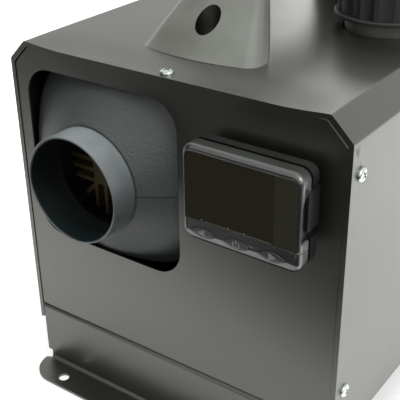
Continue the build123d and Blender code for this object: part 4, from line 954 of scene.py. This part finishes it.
class HEATER_OT_display_film(bpy.types.Operator):
    """Models the glossy front film, the seam below it and the highlight painted on the seam's edge"""

    bl_idname = "heater.display_film"
    bl_label = "Display film"

    def film(self, settings):
        low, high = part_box("display_frame")
        window_low, window_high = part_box("display_window")
        width = high[0] - low[0] - 2 * settings.film_margin
        height = window_high[2] - window_low[2]
        middle = ((low[0] + high[0]) / 2, low[1], (window_low[2] + window_high[2]) / 2)
        film = upright_plane(middle, width, height)
        bpy.ops.object.mode_set(mode="EDIT")
        select_vertices(film, lambda p: p.z > middle[2])
        bpy.ops.mesh.bevel(offset=settings.film_corner, segments=FILM_CORNER_STEPS, affect="VERTICES")
        bpy.ops.object.mode_set(mode="OBJECT")
        thicken(film, settings.film_thickness, 1.0)
        acrylic = material_of("display_window")
        settle(film, "display_film", acrylic, "case", ("display_window",))

    def band(self, name, bottom, top, proud, material):
        """A band of the frame's own outside between two heights, standing a little proud."""
        low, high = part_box("display_frame")
        band = copy_of_node("display_frame", name)
        for height, outer in ((bottom, False), (top, True)):
            bpy.ops.mesh.select_all(action="SELECT")
            bpy.ops.mesh.bisect(
                plane_co=(0, 0, height), plane_no=(0, 0, 1), clear_inner=not outer, clear_outer=outer
            )
        left, right = low[0] + FRAME_RIM, high[0] - FRAME_RIM
        behind = low[1] + FRONT_SKIN
        select_faces(band, lambda c, n: left < c.x < right and c.y > behind or n.y > 0.5)
        bpy.ops.mesh.delete(type="FACE")
        bpy.ops.object.mode_set(mode="OBJECT")
        thicken(band, proud, 1.0)
        settle(band, name, material, "case")

    def execute(self, context):
        settings = context.scene.heater_display
        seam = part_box("display_window")[0][2] - SEAM_DROP
        dark = spark_eroded_abs("seam shade", "#090908", "#0d0d0c", 0.5, 0.6)
        # painted highlight: a light grey band along the seam's upper edge stands in for the light it catches
        edge = spark_eroded_abs("worn seam edge", "#a0a299", "#aeb0a7", 0.3, 0.4)
        self.film(settings)
        self.band("display_seam", seam - settings.seam_height, seam, SEAM_PROUD, dark)
        self.band("display_seam_edge", seam, seam + SEAM_HIGHLIGHT, HIGHLIGHT_PROUD, edge)
        return {"FINISHED"}


RING_SIDES = 36
# The power symbol, as shares of its size.
STROKE = 0.12
INNER_DISC = 0.1
GAP_HALF = 0.28
BAR_HEIGHT = 0.5
BAR_MIDDLE = 0.33
# The scale along the film's lower edge, in X and from the window's bottom.
SCALE_MIDDLE, SCALE_RISE = 73.2 * MM, 0.9 * MM
SCALE_SIZE = (46 * MM, 0.22 * MM)
MARKS_X = (48.2 * MM, 67.2 * MM, 78.0 * MM)
MARKS_RISE = 1.4 * MM
MARK_SIZE = (1.2 * MM, 1.3 * MM)


class HEATER_OT_symbols(bpy.types.Operator):
    """Prints the arrows and the power symbol on the buttons and the marks on the film"""

    bl_idname = "heater.symbols"
    bl_label = "Symbols"

    def triangle(self, place, width, height, turn):
        """A flat triangle that points to the side turn says, in degrees from straight up."""
        radius = height / 1.5
        triangle = upright_disc(3, radius, place, math.radians(turn))
        triangle.scale = (width / (2 * math.sin(math.radians(60)) * radius), 1, 1)
        bpy.ops.object.transform_apply(location=True, rotation=True, scale=True)
        return triangle

    def power_symbol(self, place, size):
        """A ring, open at the top, with a bar in the gap."""
        ring = upright_disc(RING_SIDES, size / 2, place, 0)
        bpy.ops.object.transform_apply(location=True, rotation=True, scale=True)
        stroke = STROKE * size
        centre = Vector(place)
        bpy.ops.object.mode_set(mode="EDIT")
        bpy.ops.mesh.select_all(action="SELECT")
        bpy.ops.mesh.inset(thickness=stroke)
        select_faces(
            ring,
            lambda c, n: (c - centre).length < INNER_DISC * size
            or (c.z > centre.z and abs(c.x - centre.x) < GAP_HALF * size),
        )
        bpy.ops.mesh.delete(type="FACE")
        bpy.ops.object.mode_set(mode="OBJECT")
        bar = upright_plane((place[0], place[1], place[2] + BAR_MIDDLE * size), stroke, BAR_HEIGHT * size)
        return joined([ring, bar])

    def execute(self, context):
        settings = context.scene.heater_display
        size = settings.symbol_size
        ink = spark_eroded_abs("printed symbols, light grey", "#a6a8a1", "#b6b8b1", 0.4, 0.5)
        for button, turn in zip(BUTTONS, (-90, None, 90)):
            low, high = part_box(button)
            place = [(a + b) / 2 for a, b in zip(low, high)]
            place[1] = low[1]
            if turn is None:
                symbol = self.power_symbol(place, size)
            else:
                symbol = self.triangle(place, size, size, turn)
            thicken(symbol, settings.print_thickness)
            slope_back(symbol)
            settle(symbol, button + "_symbol", ink, button)
        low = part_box("display_window")[0]
        front = low[1] - settings.film_thickness
        marks = [upright_plane((SCALE_MIDDLE, front, low[2] + SCALE_RISE), *SCALE_SIZE)]
        marks += [self.triangle((x, front, low[2] + MARKS_RISE), *MARK_SIZE, 0) for x in MARKS_X]
        marks = joined(marks)
        thicken(marks, settings.print_thickness)
        faint = spark_eroded_abs("printed scale, grey", "#9a9c92", "#a8aaa0", 0.4, 0.5)
        settle(marks, "display_scale", faint, "case")
        return {"FINISHED"}


# A pan head, as shares of its height and radius.
RIM_HEIGHT = 0.3
DOME_STEPS = 6
DOME_ANGLE = math.radians(80)
DOME_FLAT = 0.25
SCREW_SMOOTH = math.radians(35)
SCREW_TURN = math.radians(17)  # each head is turned this much more than the last
SIDE_X = 0.1  # screws further out than this go into the sides


class HEATER_OT_case_screws(bpy.types.Operator):
    """Models the cover's pan-head screws with their cross recess"""

    bl_idname = "heater.case_screws"
    bl_label = "Case screws"

    def head(self, radius, height, settings):
        """One head at the origin, standing on Z = 0, with its cross recess."""
        rim = RIM_HEIGHT * height
        clear_selection()
        bpy.ops.mesh.primitive_cylinder_add(
            vertices=settings.facets, radius=radius, depth=rim, location=(0, 0, rim / 2)
        )
        screw = bpy.context.object
        bpy.ops.object.mode_set(mode="EDIT")
        select_faces(screw, lambda c, n: n.z > 0.9)
        angles = [DOME_ANGLE * i / DOME_STEPS for i in range(DOME_STEPS + 1)]
        rises = [(height - rim) * math.sin(angle) for angle in angles]
        widths = [DOME_FLAT + (1 - DOME_FLAT) * math.cos(angle) for angle in angles]
        for i in range(1, DOME_STEPS + 1):
            step = (0, 0, rises[i] - rises[i - 1])
            shrink = widths[i] / widths[i - 1]
            bpy.ops.mesh.extrude_region_move(TRANSFORM_OT_translate={"value": step})
            bpy.ops.transform.resize(value=(shrink, shrink, 1))
        bpy.ops.object.mode_set(mode="OBJECT")
        bpy.ops.object.transform_apply(location=True, rotation=True, scale=True)
        for turn in (0, 90):
            clear_selection()
            bpy.ops.mesh.primitive_cube_add(size=1)
            arm = bpy.context.object
            arm.scale = (settings.recess_span, settings.recess_width, 2 * settings.recess_depth)
            arm.rotation_euler = (0, 0, math.radians(turn))
            arm.location = (0, 0, height)
            cut_away(screw, arm)
        make_active(screw)
        bpy.ops.object.shade_smooth_by_angle(angle=SCREW_SMOOTH)
        return screw

    def execute(self, context):
        settings = context.scene.heater_screws
        low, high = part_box("cover")
        model = None
        copies = []
        for centre, size in solid_boxes("cover_screws"):
            radius = sorted(size)[1] / 2
            if abs(centre.x) > SIDE_X:
                axis, out = 0, Vector((math.copysign(1, centre.x), 0, 0))
            else:
                axis, out = 2, Vector((0, 0, 1))
            seat = high[axis] if centre[axis] > 0 else low[axis]
            if model is None:
                top = centre[axis] + math.copysign(size[axis] / 2, out[axis])
                model = self.head(radius, abs(top - seat), settings)
            if out.z and centre.y < 0:
                seat -= bow_at(centre)
            copy = model.copy()
            copy.data = model.data.copy()
            context.collection.objects.link(copy)
            place = Vector(centre)
            place[axis] = seat
            turn = out.to_track_quat("Z", "Y")
            spin = Quaternion((0, 0, 1), SCREW_TURN * len(copies))
            copy.matrix_world = Matrix.Translation(place) @ (turn @ spin).to_matrix().to_4x4()
            copies.append(copy)
        bpy.data.objects.remove(model)
        zinc = material_of("cover_screws")
        settle(joined(copies), "case_screw_heads", zinc, "case", ("cover_screws",))
        return {"FINISHED"}


class HEATER_PT_panel(bpy.types.Panel):
    """Lists the heater's steps in the sidebar"""

    bl_idname = "HEATER_PT_panel"
    bl_label = "Diesel air heater"
    bl_space_type = "VIEW_3D"
    bl_region_type = "UI"
    bl_category = "Heater"

    def draw(self, context):
        for operator in OPERATORS:
            self.layout.operator(operator.bl_idname)


SETTINGS = {
    "heater_stage": StageSettings,
    "heater_camera": CameraSettings,
    "heater_screws": ScrewSettings,
    "heater_cover": CoverSettings,
    "heater_display": DisplaySettings,
}
OPERATORS = (
    HEATER_OT_camera,
    HEATER_OT_stage,
    HEATER_OT_finishes,
    HEATER_OT_cover,
    HEATER_OT_case_screws,
    HEATER_OT_display_front,
    HEATER_OT_display_film,
    HEATER_OT_symbols,
)


def register():
    for group in SETTINGS.values():
        bpy.utils.register_class(group)
    for operator in OPERATORS:
        bpy.utils.register_class(operator)
    bpy.utils.register_class(HEATER_PT_panel)
    for name, group in SETTINGS.items():
        setattr(bpy.types.Scene, name, PointerProperty(type=group))


def unregister():
    for name in SETTINGS:
        delattr(bpy.types.Scene, name)
    bpy.utils.unregister_class(HEATER_PT_panel)
    for operator in reversed(OPERATORS):
        bpy.utils.unregister_class(operator)
    for group in reversed(list(SETTINGS.values())):
        bpy.utils.unregister_class(group)


def main():
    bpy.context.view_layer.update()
    register()
    bpy.ops.heater.camera()
    bpy.ops.heater.stage()
    bpy.ops.heater.finishes()
    bpy.ops.heater.cover()
    bpy.ops.heater.case_screws()
    bpy.ops.heater.display_front()
    bpy.ops.heater.display_film()
    bpy.ops.heater.symbols()


if __name__ == "__main__":
    main()
